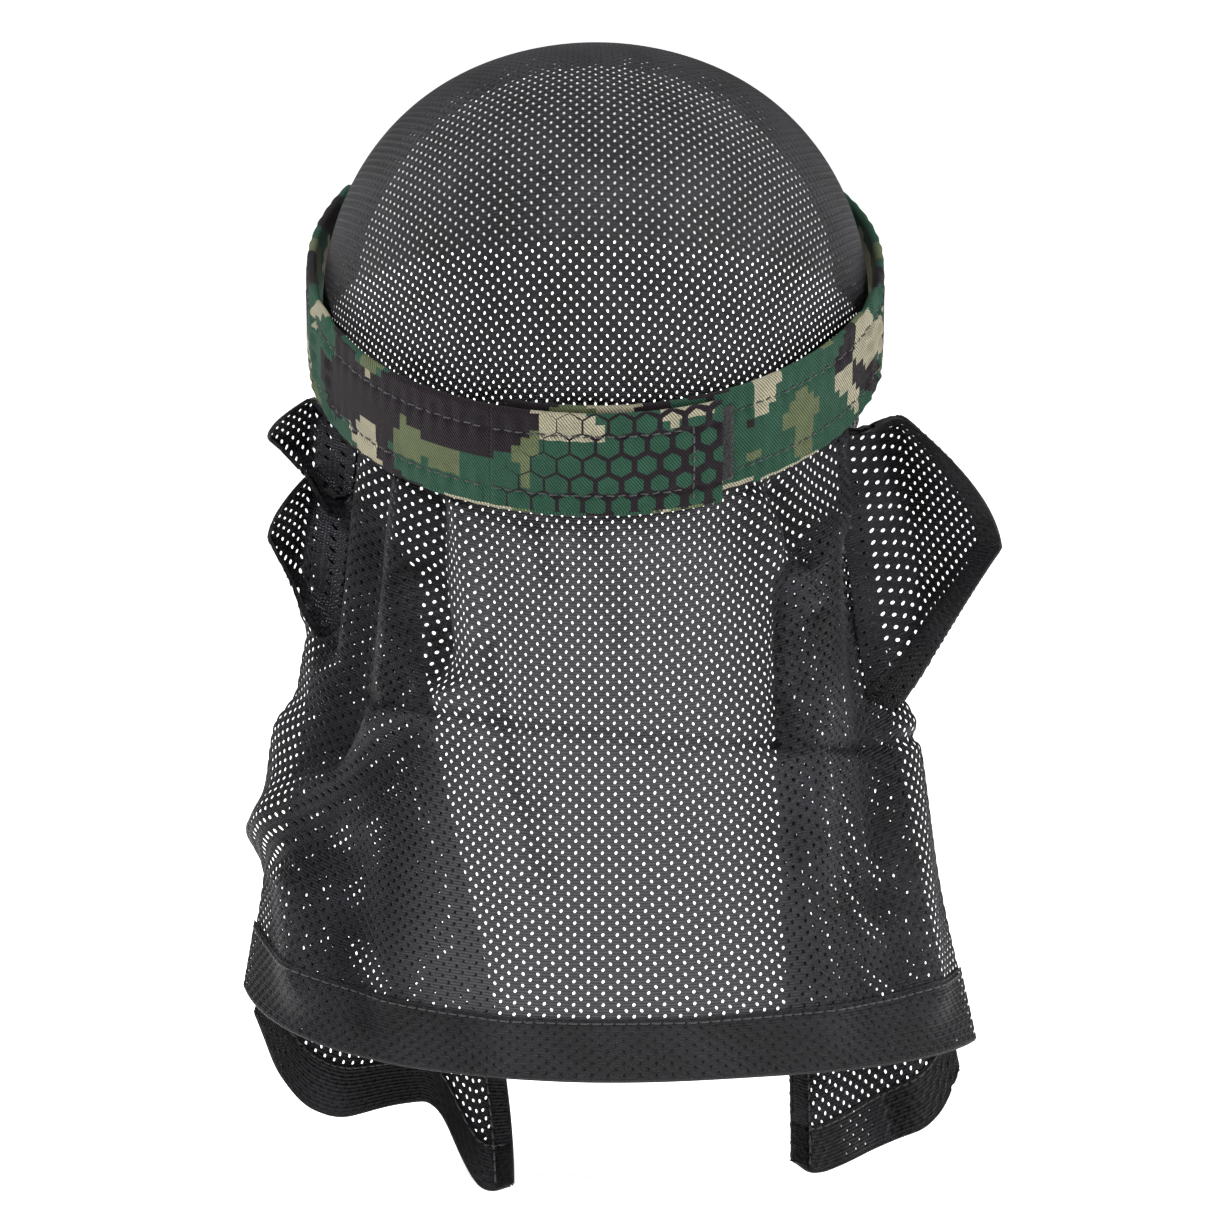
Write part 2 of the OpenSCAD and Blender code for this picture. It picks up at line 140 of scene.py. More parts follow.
LAYER_GAP = 0.3
HOOK_THICKNESS = LOOP_THICKNESS = 0.7
CLOSURE_GAP = 0.4
SIDE_CLEAR = 3.7
UNDER_DEPTH = STRAP_THICKNESS + HOOK_THICKNESS + LOOP_THICKNESS + CLOSURE_GAP
OUTER = Oval(HALF_WIDTH, HALF_LENGTH, NAPE_RADIUS)
UNDER = Oval(HALF_WIDTH - LAYER_GAP, HALF_LENGTH - UNDER_DEPTH, NAPE_RADIUS - UNDER_DEPTH)
CLOTH_DEPTH = UNDER_DEPTH + STRAP_THICKNESS + LAYER_GAP
CLOTH = Oval(HALF_WIDTH - STRAP_THICKNESS - SIDE_CLEAR, HALF_LENGTH - CLOTH_DEPTH, NAPE_RADIUS - CLOTH_DEPTH)


# ---- Camera, lights and floor ----------------------------------------------------------------

def add_camera():
    """Behind the wearer and a little above, on a long lens."""
    elevation = math.radians(8)
    distance = 2.6
    field = 0.358
    target = Vector((0.0027, 0, -0.0885))
    data = bpy.data.cameras.new("camera")
    data.sensor_width = 36
    data.lens = data.sensor_width * distance / field
    data.clip_end = 50
    camera = bpy.data.objects.new("camera", data)
    direction = Vector((0, -math.cos(elevation), math.sin(elevation)))
    camera.location = target + direction * distance
    camera.rotation_euler = (-direction).to_track_quat("-Z", "Y").to_euler()
    bpy.context.scene.collection.objects.link(camera)
    bpy.context.scene.camera = camera


def add_area_light(name, location, target, size, power):
    data = bpy.data.lights.new(name, "AREA")
    data.shape = "DISK"
    data.size = size
    data.energy = power
    light = bpy.data.objects.new(name, data)
    light.location = location
    light.rotation_euler = (Vector(target) - Vector(location)).to_track_quat("-Z", "Y").to_euler()
    bpy.context.scene.collection.objects.link(light)
    return light


def add_studio():
    scene = bpy.context.scene
    scene.view_settings.view_transform = "Standard"
    world = bpy.data.worlds.new("studio")
    world.use_nodes = True
    # White where it is seen, dimmer as a light, so that dark cloth keeps its folds
    tree = world.node_tree
    seen = tree.nodes["Background"]
    seen.inputs["Color"].default_value = (1, 1, 1, 1)
    seen.inputs["Strength"].default_value = 1.0
    lit = tree.nodes.new("ShaderNodeBackground")
    lit.inputs["Color"].default_value = (1, 1, 1, 1)
    lit.inputs["Strength"].default_value = 0.27
    path = tree.nodes.new("ShaderNodeLightPath")
    blend = tree.nodes.new("ShaderNodeMixShader")
    tree.links.new(path.outputs["Is Camera Ray"], blend.inputs[0])
    tree.links.new(lit.outputs[0], blend.inputs[1])
    tree.links.new(seen.outputs[0], blend.inputs[2])
    tree.links.new(blend.outputs[0], tree.nodes["World Output"].inputs["Surface"])
    scene.world = world
    centre = (0, 0, -0.08)
    add_area_light("key", (-1.2, -1.2, 1.3), centre, 0.6, 50)
    add_area_light("fill", (1.7, -0.7, 0.5), centre, 0.5, 30)
    add_area_light("top", (0.1, 0.2, 1.7), centre, 0.8, 26)
    # A faint disc inside the crown, unseen from its other side, lets the holes read against light
    glow = add_area_light("inner_glow", (0, 0.024, 0.001), (0, -1, 0.12), 0.14, 0.036)
    glow.data.shape = "ELLIPSE"
    glow.data.size = 0.142
    glow.data.size_y = 0.136
    glow.visible_camera = True
    bpy.ops.mesh.primitive_plane_add(size=14, location=(0, 0, FLOOR_Z * MM))
    floor = bpy.context.object
    floor.name = "floor"
    material = bpy.data.materials.new("floor")
    material.use_nodes = True
    shader = material.node_tree.nodes["Principled BSDF"]
    shader.inputs["Base Color"].default_value = (0.93, 0.93, 0.93, 1)
    shader.inputs["Roughness"].default_value = 0.9
    shader.inputs["Specular IOR Level"].default_value = 0.1
    shader.inputs["Emission Color"].default_value = (1, 1, 1, 1)
    shader.inputs["Emission Strength"].default_value = 0.78
    floor.data.materials.append(material)


# ---- Node materials ---------------------------------------------------------------------------

class Nodes:
    """Short ways to add and join shader nodes. A value may be a number, a tuple or a socket."""

    def __init__(self, name):
        self.material = bpy.data.materials.new(name)
        self.material.use_nodes = True
        self.tree = self.material.node_tree
        self.shader = self.tree.nodes["Principled BSDF"]

    def add(self, kind, **settings):
        node = self.tree.nodes.new(kind)
        for key, value in settings.items():
            setattr(node, key, value)
        return node

    def plug(self, socket, value):
        if isinstance(value, bpy.types.NodeSocket):
            self.tree.links.new(value, socket)
        elif isinstance(value, (tuple, list)) and len(value) == 3 and socket.type == "RGBA":
            socket.default_value = (*value, 1)
        else:
            socket.default_value = value

    def math(self, operation, a, b=0.0, c=0.0):
        node = self.add("ShaderNodeMath", operation=operation)
        for socket, value in zip(node.inputs, (a, b, c)):
            self.plug(socket, value)
        return node.outputs[0]

    def vector(self, operation, a, b=(0, 0, 0)):
        node = self.add("ShaderNodeVectorMath", operation=operation)
        self.plug(node.inputs[0], a)
        self.plug(node.inputs[1], b)
        return node.outputs[0]

    def mix(self, factor, a, b):
        node = self.add("ShaderNodeMix", data_type="RGBA")
        self.plug(node.inputs["Factor"], factor)
        self.plug(node.inputs["A"], a)
        self.plug(node.inputs["B"], b)
        return node.outputs["Result"]

    def flat(self):
        """Flat cloth coordinates, in millimetres, from the UV map."""
        uv = self.add("ShaderNodeUVMap", uv_map="flat")
        node = self.add("ShaderNodeVectorMath", operation="SCALE")
        self.plug(node.inputs[0], uv.outputs[0])
        node.inputs["Scale"].default_value = 1000
        return node.outputs[0]

    def split(self, vector):
        node = self.add("ShaderNodeSeparateXYZ")
        self.plug(node.inputs[0], vector)
        return node.outputs[0], node.outputs[1]

    def noise(self, vector, scale, detail=2.0, roughness=0.5):
        node = self.add("ShaderNodeTexNoise")
        self.plug(node.inputs["Vector"], vector)
        node.inputs["Scale"].default_value = scale
        node.inputs["Detail"].default_value = detail
        node.inputs["Roughness"].default_value = roughness
        return node.outputs["Fac"]

    def multiply(self, a, b):
        """One colour times another."""
        node = self.add("ShaderNodeMix", data_type="RGBA", blend_type="MULTIPLY")
        node.inputs["Factor"].default_value = 1
        self.plug(node.inputs["A"], a)
        self.plug(node.inputs["B"], b)
        return node.outputs["Result"]

    def finish(self, tone, roughness, specular, sheen, sheen_roughness):
        """Sets the shader; a number of None keeps the shader's own."""
        values = (("Base Color", tone), ("Roughness", roughness), ("Specular IOR Level", specular),
                  ("Sheen Weight", sheen), ("Sheen Roughness", sheen_roughness))
        for name, value in values:
            if value is not None:
                self.plug(self.shader.inputs[name], value)
        return self.material

    def ramp(self, value, low_edge, high_edge):
        node = self.add("ShaderNodeMapRange", interpolation_type="SMOOTHSTEP")
        self.plug(node.inputs["Value"], value)
        node.inputs["From Min"].default_value = low_edge
        node.inputs["From Max"].default_value = high_edge
        return node.outputs["Result"]

    def bump(self, height, distance, strength=1.0):
        node = self.add("ShaderNodeBump")
        self.plug(node.inputs["Height"], height)
        node.inputs["Distance"].default_value = distance * MM
        node.inputs["Strength"].default_value = strength
        self.plug(self.shader.inputs["Normal"], node.outputs[0])


def colour(red, green, blue):
    """An sRGB colour, 0 to 255, as the linear colour that shaders take."""
    def linear(c):
        c /= 255
        return c / 12.92 if c <= 0.04045 else ((c + 0.055) / 1.055) ** 2.4
    return linear(red), linear(green), linear(blue)


# Spacing of the yarns along and across the knit
WALE, COURSE = 0.65, 0.95
YARN_DARK, YARN_LIGHT = colour(4, 4, 6), colour(25, 24, 29)
# Paler yarn tones for painted light: light coming through the drape's middle from behind
PAINTED_BACKLIGHT_DARK, PAINTED_BACKLIGHT_LIGHT = colour(30, 29, 32), colour(80, 78, 82)


def mesh_material(name, dark, light, roughness, painted_backlight_half=None):
    """Knitted polyester: dark filament yarn in short columns, with a satin sheen.

    The last argument is how far the paler middle of the sheet reaches to each side of its spine; that paler
    middle is painted light, standing for light that comes through the cloth from behind.
    """
    n = Nodes(name)
    flat = n.flat()
    x, y = n.split(flat)
    wale = n.math("SINE", n.math("MULTIPLY", x, 2 * math.pi / WALE))
    bent = n.math("MULTIPLY", wale, 1.2)
    course = n.math("SINE", n.math("MULTIPLY_ADD", y, 2 * math.pi / COURSE, bent))
    knit = n.math("MULTIPLY", wale, course)
    worn = n.noise(flat, 0.05, 4)
    yarn = n.mix(n.ramp(knit, -0.4, 0.9), dark, light)
    tone = n.mix(n.ramp(worn, 0.35, 0.7), yarn, tuple(c * 1.35 for c in light))
    # Painted light: the middle of the sheet takes the paler yarn tones, standing for light that comes through
    # the cloth from behind
    if painted_backlight_half:
        painted_backlight = n.mix(n.ramp(knit, -0.6, 0.7), PAINTED_BACKLIGHT_DARK, PAINTED_BACKLIGHT_LIGHT)
        tone = n.mix(n.ramp(n.math("ABSOLUTE", x), painted_backlight_half - 26, painted_backlight_half + 6), painted_backlight, tone)
    n.bump(knit, 0.2, 1.0)
    return n.finish(tone, roughness, 0.27, 0.03, 0.4)


GREEN = colour(33, 68, 52)
OLIVE = colour(84, 92, 64)
TAN = colour(146, 141, 120)
UMBER = colour(24, 17, 22)
# The side of a camouflage step, and the noise level above which each colour shows
PIXEL = 2.7
OLIVE_LEVEL, TAN_LEVEL, DARK_LEVEL = 0.56, 0.60, 0.56


def patch_bias(n, point, centre, radii):
    """1 at the patch's centre, falling to 0 at its edge."""
    squares = []
    for value, middle, radius in zip(n.split(point), centre, radii):
        share = n.math("MULTIPLY", n.math("SUBTRACT", value, middle), 1 / radius)
        squares.append(n.math("MULTIPLY", share, share))
    reach = n.math("SQRT", n.math("ADD", *squares))
    return n.math("MAXIMUM", n.math("SUBTRACT", 1.0, reach), 0.0)


def camo_colour(n, flat, seed, patches=()):
    """Stepped camouflage: broad patches whose edges follow square cells.

    patches lists (colour name, amount, centre, radii) that make a colour likelier there.
    """
    cell = n.vector("SNAP", flat, (PIXEL, PIXEL, PIXEL))
    shifted = n.vector("ADD", cell, (seed, seed * 0.37, 0))
    dark = n.noise(shifted, 0.034, 1.2)
    olive = n.noise(n.vector("ADD", shifted, (310, 40, 0)), 0.036, 1.2)
    tan = n.noise(n.vector("ADD", shifted, (90, 420, 0)), 0.042, 1.2)
    likely = {"dark": dark, "olive": olive, "tan": tan}
    for name, amount, centre, radii in patches:
        likely[name] = n.math("MULTIPLY_ADD", patch_bias(n, cell, centre, radii), amount, likely[name])
    result = n.mix(n.math("GREATER_THAN", likely["olive"], OLIVE_LEVEL), GREEN, OLIVE)
    result = n.mix(n.math("GREATER_THAN", likely["tan"], TAN_LEVEL), result, TAN)
    return n.mix(n.math("GREATER_THAN", likely["dark"], DARK_LEVEL), result, UMBER)


def honeycomb(n, flat, pitch, start, stop):
    """1 inside hexagons that shrink from touching, at start, to well apart, at stop."""
    x, y = n.split(flat)
    row = pitch * math.sqrt(3) / 2

    def offset(value, shift, period):
        """Distance from the middle of the period that a value falls in."""
        within = n.math("FLOORED_MODULO", n.math("ADD", value, shift), period)
        return n.math("ABSOLUTE", n.math("SUBTRACT", within, period / 2))

    def distance(shift_x, shift_y):
        dx, dy = offset(x, shift_x, pitch), offset(y, shift_y, 2 * row)
        slant = n.math("MULTIPLY_ADD", dy, math.sqrt(3) / 2, n.math("MULTIPLY", dx, 0.5))
        return n.math("MAXIMUM", dx, slant)

    nearest = n.math("MINIMUM", distance(0, 0), distance(pitch / 2, row))
    along = n.add("ShaderNodeMapRange")
    n.plug(along.inputs["Value"], n.math("MULTIPLY_ADD", y, -0.75, x))
    along.inputs["From Min"].default_value = start
    along.inputs["From Max"].default_value = stop
    along.inputs["To Min"].default_value = 1.02 * pitch / 2
    along.inputs["To Max"].default_value = 0.62 * pitch / 2
    return n.math("LESS_THAN", nearest, along.outputs["Result"])


# Slant and spacing of the twill's ribs, and of the threads across them
TWILL_RIB = (0.75, 0.95)
TWILL_THREAD = (-0.9, 0.6)


def twill_material(name, seed=0.0, hexagons=None, patches=()):
    """Printed cotton twill: fine diagonal ribs, faded a little where it is handled."""
    n = Nodes(name)
    flat = n.flat()
    x, y = n.split(flat)
    print_colour = camo_colour(n, flat, seed, patches)
    if hexagons:
        print_colour = n.mix(honeycomb(n, flat, *hexagons), UMBER, print_colour)
    waves = [n.math("SINE", n.math("MULTIPLY", n.math("MULTIPLY_ADD", y, slant, x), 2 * math.pi / pitch))
             for slant, pitch in (TWILL_RIB, TWILL_THREAD)]
    weave = n.math("MULTIPLY_ADD", waves[1], 0.35, waves[0])
    shade = n.mix(n.ramp(weave, -1.2, 1.2), (0.42, 0.42, 0.42), (1.3, 1.3, 1.3))
    fade = n.mix(n.ramp(n.noise(flat, 0.12, 5), 0.3, 0.75), (0.86, 0.86, 0.86), (1.1, 1.1, 1.1))
    n.bump(weave, 0.16, 0.9)
    return n.finish(n.multiply(n.multiply(print_colour, shade), fade), 0.85, 0.1, 0.04, 0.5)


def plain_material(name, base, accent, scale, roughness, relief, sheen=0.2):
    """Thread, webbing, pile and foam: two close tones in a fine grain."""
    n = Nodes(name)
    flat = n.add("ShaderNodeTexCoord").outputs["Object"]
    grain = n.noise(flat, scale, 3, 0.6)
    n.bump(grain, relief, 0.8)
    return n.finish(n.mix(n.ramp(grain, 0.35, 0.7), base, accent), roughness, None, sheen, None)


# ---- Meshes -----------------------------------------------------------------------------------

def make_object(name, points, faces, uv=None, material=None, smooth=True):
    """An object from points in millimetres, faces of one size and a flat UV in millimetres."""
    points = np.asarray(points, float) * MM
    faces = np.asarray(faces, int)
    mesh = bpy.data.meshes.new(name)
    size = faces.shape[1]
    mesh.vertices.add(len(points))
    mesh.vertices.foreach_set("co", points.astype(np.float32).ravel())
    mesh.loops.add(faces.size)
    mesh.loops.foreach_set("vertex_index", faces.ravel().astype(np.int32))
    mesh.polygons.add(len(faces))
    mesh.polygons.foreach_set("loop_start", np.arange(0, faces.size, size, dtype=np.int32))
    mesh.update(calc_edges=True)
    mesh.polygons.foreach_set("use_smooth", np.full(len(faces), smooth))
    if uv is not None:
        layer = mesh.uv_layers.new(name="flat")
        layer.data.foreach_set("uv", (np.asarray(uv, float) * MM)[faces.ravel()].astype(np.float32).ravel())
    mesh.validate()
    obj = bpy.data.objects.new(name, mesh)
    bpy.context.scene.collection.objects.link(obj)
    if material:
        mesh.materials.append(material)
    return obj


def attach(piece, body, slot, *nodes):
    """Puts a piece on a body, if one is given, in place of CAD nodes; the slot argument is not used."""
    if body:
        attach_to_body(piece, body)
    if nodes:
        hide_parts(*nodes)
    return piece


class Sheet:
    """A sheet of cloth as a fine grid of points over its flat coordinates."""

    def __init__(self, place, x_range, y_range, step=1.5):
        self.xs = np.linspace(*x_range, max(2, round((x_range[1] - x_range[0]) / step)))
        self.ys = np.linspace(*y_range, max(2, round((y_range[1] - y_range[0]) / step)))
        x, y = np.meshgrid(self.xs, self.ys)
        self.points = place(x, y)
        self.find_normals()

    def find_normals(self):
        along_x = np.gradient(self.points, self.xs, axis=1)
        along_y = np.gradient(self.points, self.ys, axis=0)
        normal = np.cross(along_x, along_y)
        self.normals = normal / np.maximum(np.linalg.norm(normal, axis=-1, keepdims=True), 1e-9)

    def sample(self, grid, x, y):
        """Bilinear reading of one of the sheet's grids at flat points."""
        i = np.clip((x - self.xs[0]) / (self.xs[1] - self.xs[0]), 0, len(self.xs) - 1.0001)
        j = np.clip((y - self.ys[0]) / (self.ys[1] - self.ys[0]), 0, len(self.ys) - 1.0001)
        i0, j0 = i.astype(int), j.astype(int)
        fi, fj = (i - i0)[..., None], (j - j0)[..., None]
        return ((grid[j0, i0] * (1 - fi) + grid[j0, i0 + 1] * fi) * (1 - fj)
                + (grid[j0 + 1, i0] * (1 - fi) + grid[j0 + 1, i0 + 1] * fi) * fj)

    def place(self, x, y, out=0.0):
        """Points on the sheet, pushed out along its normal."""
        normal = self.sample(self.normals, x, y)
        return self.sample(self.points, x, y) + normal * np.asarray(out)[..., None]


HOLE_PITCH = 3.9
ROW_PITCH = 1.9
HOLE_WIDTH = 0.78
HOLE_HEIGHT = 1.15
HOLE_LEAN = 20
# A hem is two layers, so its holes are nearly closed
HEM_HOLE_SHARE = 0.62
# Height of the knit round a hole: proud between the holes, sunk at their rims
KNIT_PROUD = 0.18
KNIT_SUNK = -0.22


def trimmed(flat, edges):
    """Flat points drawn in to the cut edges of a piece: (left, right, bottom, top), where left and
    right are numbers or functions of y."""
    left, right, bottom, top = edges
    y = np.clip(flat[..., 1], bottom, top)
    low_x = left(y) if callable(left) else left
    high_x = right(y) if callable(right) else right
    return np.stack([np.clip(flat[..., 0], low_x, high_x), y], -1)


def flat_area(points, quads):
    a, b, c, d = (points[quads[:, k]] for k in range(4))
    p, q = c - a, d - b
    return np.abs(p[:, 0] * q[:, 1] - p[:, 1] * q[:, 0]) / 2


def cloth_area(sheet, cut):
    """Area of the cloth between a piece's cut edges, in square metres."""
    x, y = np.meshgrid(sheet.xs, sheet.ys)
    flat = np.stack([x, y], -1)
    inside = np.abs(trimmed(flat, cut) - flat).max(-1) < 1e-6
    across = np.diff(sheet.points, axis=1)[:-1]
    down = np.diff(sheet.points, axis=0)[:, :-1]
    cells = np.linalg.norm(np.cross(across, down), axis=-1)
    return float((cells * inside[:-1, :-1]).sum()) * MM * MM


def mesh_cloth(name, sheet, cut, material, shift=(0.0, 0.0), out=0.0, hole=1.0):
    """Athletic mesh over a sheet: staggered rows of oval holes, each in its own diamond of knit.
    cut is the piece's cut edges, or a function that says which flat points the cloth covers."""
    rows = np.arange(math.floor(sheet.ys[0] / ROW_PITCH), math.ceil(sheet.ys[-1] / ROW_PITCH) + 1)
    cols = np.arange(math.floor(sheet.xs[0] / HOLE_PITCH) - 1, math.ceil(sheet.xs[-1] / HOLE_PITCH) + 1)
    col, row = [a.ravel() for a in np.meshgrid(cols, rows)]
    centre = np.stack([4 * col + 2 * (row % 2), 2 * row], -1)
    rim = np.array([(2, 0), (1, 1), (0, 2), (-1, 1), (-2, 0), (-1, -1), (0, -2), (1, -1)])
    corners = centre[:, None] + rim[None]
    unit = np.array([HOLE_PITCH / 4, ROW_PITCH / 2])
    flat_corners = corners * unit + np.array(shift)
    if callable(cut):
        keep = cut(flat_corners[..., 0], flat_corners[..., 1]).all(1)
    else:
        keep = (np.abs(trimmed(flat_corners, cut) - flat_corners).max(-1) < 1e-6).any(1)
    corners, centre, row = corners[keep], centre[keep], row[keep]
    flat_centre = centre * unit + np.array(shift)
    key = (corners[..., 0] + 100000) * 1000000 + corners[..., 1] + 100000
    _, first, index = np.unique(key.ravel(), return_index=True, return_inverse=True)
    outer_flat = corners.reshape(-1, 2)[first] * unit + np.array(shift)
    index = index.reshape(-1, 8)
    turn = np.radians(np.arange(8) * 45.0)
    oval = hole * np.stack([np.cos(turn) * HOLE_WIDTH / 2, np.sin(turn) * HOLE_HEIGHT / 2], -1)
    lean = np.radians(np.where(row % 2 == 0, HOLE_LEAN, -HOLE_LEAN))
    c, s = np.cos(lean)[:, None], np.sin(lean)[:, None]
    rim_flat = flat_centre[:, None] + np.stack([
        oval[None, :, 0] * c - oval[None, :, 1] * s,
        oval[None, :, 0] * s + oval[None, :, 1] * c], -1)
    if not callable(cut):
        outer_flat, rim_flat = trimmed(outer_flat, cut), trimmed(rim_flat, cut)
    outer = sheet.place(outer_flat[:, 0], outer_flat[:, 1], np.full(len(outer_flat), out + KNIT_PROUD))
    inner = sheet.place(rim_flat[..., 0], rim_flat[..., 1], np.full(rim_flat.shape[:2], out + KNIT_SUNK))
    count = len(outer)
    holes = count + np.arange(len(centre) * 8).reshape(-1, 8)
    quads = np.stack([index, np.roll(index, -1, 1), np.roll(holes, -1, 1), holes], -1).reshape(-1, 4)
    flat = np.concatenate([outer_flat, rim_flat.reshape(-1, 2)])
    quads = quads[flat_area(flat, quads) > 0.02]
    used, renumbered = np.unique(quads, return_inverse=True)
    points = np.concatenate([outer, inner.reshape(-1, 3)])
    return make_object(name, points[used], renumbered.reshape(-1, 4), flat[used], material)


def grid_object(name, points, uv, material, closed=False):
    """A quad mesh over a grid of points; closed joins the last column to the first."""
    rows, cols = points.shape[:2]
    i, j = np.meshgrid(np.arange(rows - 1), np.arange(cols if closed else cols - 1), indexing="ij")
    a, b = i * cols + j, i * cols + (j + 1) % cols
    faces = np.stack([a, b, b + cols, a + cols], -1).reshape(-1, 4)
    return make_object(name, points.reshape(-1, 3), faces, uv.reshape(-1, 2), material)


def mix(a, b, t):
    return a + (b - a) * t


def ease(t):
    t = np.clip(t, 0, 1)
    return t * t * (3 - 2 * t)


def hump(x, middle, width):
    return np.exp(-((x - middle) / width) ** 2)


# ---- Crown: the cloth over the top and back of the head -----------------------------------------

CROWN_HIGH = high("crown_mesh")
CROWN_TOP = CROWN_HIGH[2]
CROWN_HALF_WIDTH = CROWN_HIGH[0]
CROWN_RIM = HALF_LENGTH - CLOTH_DEPTH - 1.0
CROWN_HALF_LENGTH = math.cos(TILT) / math.sqrt(1 / CROWN_RIM ** 2 - (math.sin(TILT) / CROWN_TOP) ** 2)
AXES = np.array([CROWN_HALF_WIDTH, CROWN_HALF_LENGTH, CROWN_TOP])
# The flat lattice is laid from the upper back of the head, which faces the camera
CROWN_FACE = np.array([0.0, -0.80, 0.60])
CROWN_CLOTH_RADIUS = 86.0


def crown_place(x, y):
    """Lays flat cloth on the crown: direction by bearing and distance from the upper back."""
    forward = CROWN_FACE / np.linalg.norm(CROWN_FACE)
    right = np.array([1.0, 0, 0])
    up = np.cross(forward, right)
    up = up if up[2] > 0 else -up
    angle = np.hypot(x, y) / CROWN_CLOTH_RADIUS
    bearing = np.arctan2(y, x)
    direction = (np.cos(angle)[..., None] * forward
                 + (np.sin(angle) * np.cos(bearing))[..., None] * right
                 + (np.sin(angle) * np.sin(bearing))[..., None] * up)
    points = direction * AXES
    height = level(points)[..., 2]
    # Tucks above the band, where the cloth is gathered, and one pressed crease across the back
    back = ease((-points[..., 1] - 5) / 45)
    near_band = np.exp(-np.clip(height, 0, None) / 11)
    across = points[..., 0]
    tucks = 1.3 * np.sin(across / 5.2 + 1.5 * np.sin(across / 17)) * near_band
    crease = (-1.5 * hump(height + 0.05 * across, 15, 1.9) * hump(across, 2, 16)
              - 1.2 * hump(height - 0.55 * across, 30, 2.2) * hump(across, -36, 13)
              - 1.1 * hump(height + 0.5 * across, 32, 2.4) * hump(across, 36, 14))
    slack = 0.7 * np.sin(across / 21 + height / 26) * ease(height / 30)
    normal = points / AXES ** 2
    normal /= np.linalg.norm(normal, axis=-1, keepdims=True)
    # A head is fuller than an ellipsoid between its widest place and its top
    steepness = np.arctan2(np.clip(height, 0, None), np.hypot(points[..., 0], points[..., 1]))
    fullness = 3.2 * np.sin(2 * steepness) ** 2 * ease((30 - points[..., 1]) / 50)
    beside = 2.6 * (np.abs(points[..., 0]) / CROWN_HALF_WIDTH) ** 6 * ease((26 - points[..., 1]) / 30)
    beside *= ease((points[..., 1] + 60) / 50)
    return points + normal * ((tucks + crease + slack) * back + fullness + beside - 0.4)[..., None]


def add_crown(material):
    reach = 215
    sheet = Sheet(crown_place, (-reach, reach), (-reach, reach), 1.6)
    heights = level(sheet.points)[..., 2]

    def inside(x, y):
        height = sheet.sample(heights[..., None], x, y)[..., 0]
        return (np.hypot(x, y) < reach * 0.99) & (height > -3.5)

    crown = mesh_cloth("crown_cloth", sheet, inside, material)
    attach(crown, "wrap", "mesh_cloth", "crown_mesh")


# ---- Cloth under the straps -------------------------------------------------------------------

CLOTH_SPAN = 84


def add_nape_cloth(material):
    span = CLOTH.distance(CLOTH_SPAN)

    def place(x, y):
        bearing = CLOTH.bearing(x)
        return tilted(CLOTH.at(bearing, 0.35 + 0.3 * np.sin(x / 3.1) * hump(y, -8, 8), y))

    sheet = Sheet(place, (-span, span), (-STRAP_HEIGHT / 2 - 1.2, 1.5), 1.2)
    nape = mesh_cloth("nape_cloth", sheet, (-span, span, -STRAP_HEIGHT / 2 - 1, 1.5), material)
    attach(nape, "wrap", "mesh_cloth", "nape_mesh")


# ---- Drape: the cloth that hangs over the neck ---------------------------------------------------

MESH_THICKNESS = 0.7
DRAPE_TOP_LEVEL = -STRAP_HEIGHT / 2 - 0.3
DRAPE_DROP = -low("back_hem")[2]
LEFT_HEM_RISE, RIGHT_HEM_RISE = 20.0, 4.0
HEM_WIDTH = 18.0
SIDE_HEM_WIDTH = 8.0
HEM_START = 1 - HEM_WIDTH / (DRAPE_DROP - 46)
FLARE = 1.4
HEM_HALF = 104.0


def drape_base(s, v):
    """The drape without its folds: s from -1 to 1 across, v from the band to the hem."""
    top = tilted(CLOTH.at(s * CLOTH_SPAN, MESH_THICKNESS / 2, DRAPE_TOP_LEVEL))
    bottom = np.stack([HEM_HALF * np.sin(np.radians(80 * s)) + np.where(s > 0, 7 * s, 0),
                       -52 - 48 * np.cos(np.radians(82 * s)),
                       s * s * np.where(s > 0, RIGHT_HEM_RISE, LEFT_HEM_RISE) - DRAPE_DROP], -1)
    v = np.asarray(v, float)
    across = np.sign(v) * np.abs(v) ** FLARE
    return np.stack([mix(top[..., 0], bottom[..., 0], across),
                     mix(top[..., 1], bottom[..., 1], v) - 3 * np.sin(np.pi * v),
                     mix(top[..., 2], bottom[..., 2], v)], -1)


def fold(x, z, x0, z0, x1, z1, width, depth, fade=0.18):
    """A straight fold between two points of the back view: below 0 a valley, above 0 a ridge."""
    dx, dz = x1 - x0, z1 - z0
    length = math.hypot(dx, dz)
    along = ((x - x0) * dx + (z - z0) * dz) / length ** 2
    off = ((x - x0) * dz - (z - z0) * dx) / length
    ends = ease((along + fade) / fade) * ease((1 + fade - along) / fade)
    return depth * np.exp(-(off / width) ** 2) * ends


# Folds of the drape in its back view: where each starts and ends (x, z), its width and its depth
FOLDS = [
    (-64, -44, -74, -120, 5.0, -4.0), (-55, -40, -60, -112, 4.0, 2.6), (-47, -38, -47, -104, 3.5, -3.4),
    (-80, -34, -86, -84, 4.5, 2.8), (-74, -34, -80, -92, 3.0, -2.6), (-40, -40, -34, -86, 3.2, 2.4),
    (-52, -70, -42, -98, 4.6, -2.4), (-46, -104, -92, -150, 6.5, 4.2), (-52, -116, -88, -154, 4.5, -3.2),
    (-30, -92, -18, -150, 5.0, -2.4), (-58, -107, 96, -123, 1.7, -1.5),
    (-20, -36, -14, -68, 4.0, -1.6), (8, -42, 12, -84, 5.0, 1.4), (44, -46, 58, -78, 4.5, 3.6),
    (50, -40, 60, -66, 3.4, -3.2), (54, -64, 53, -116, 2.4, -2.2), (66, -66, 62, -150, 6.0, 2.6),
    (76, -70, 84, -160, 5.0, -3.0), (58, -116, 70, -205, 6.0, 2.2), (90, -120, 96, -195, 5.0, 2.4),
    (-90, -120, -84, -190, 6.0, 2.8), (-72, -150, -66, -205, 6.5, -2.0), (20, -125, 30, -200, 9.0, 1.4),
    (-22, -140, -26, -206, 8.0, 1.6), (78, -40, 88, -90, 3.6, -2.6), (0, -60, 4, -100, 8.0, -1.2),
]


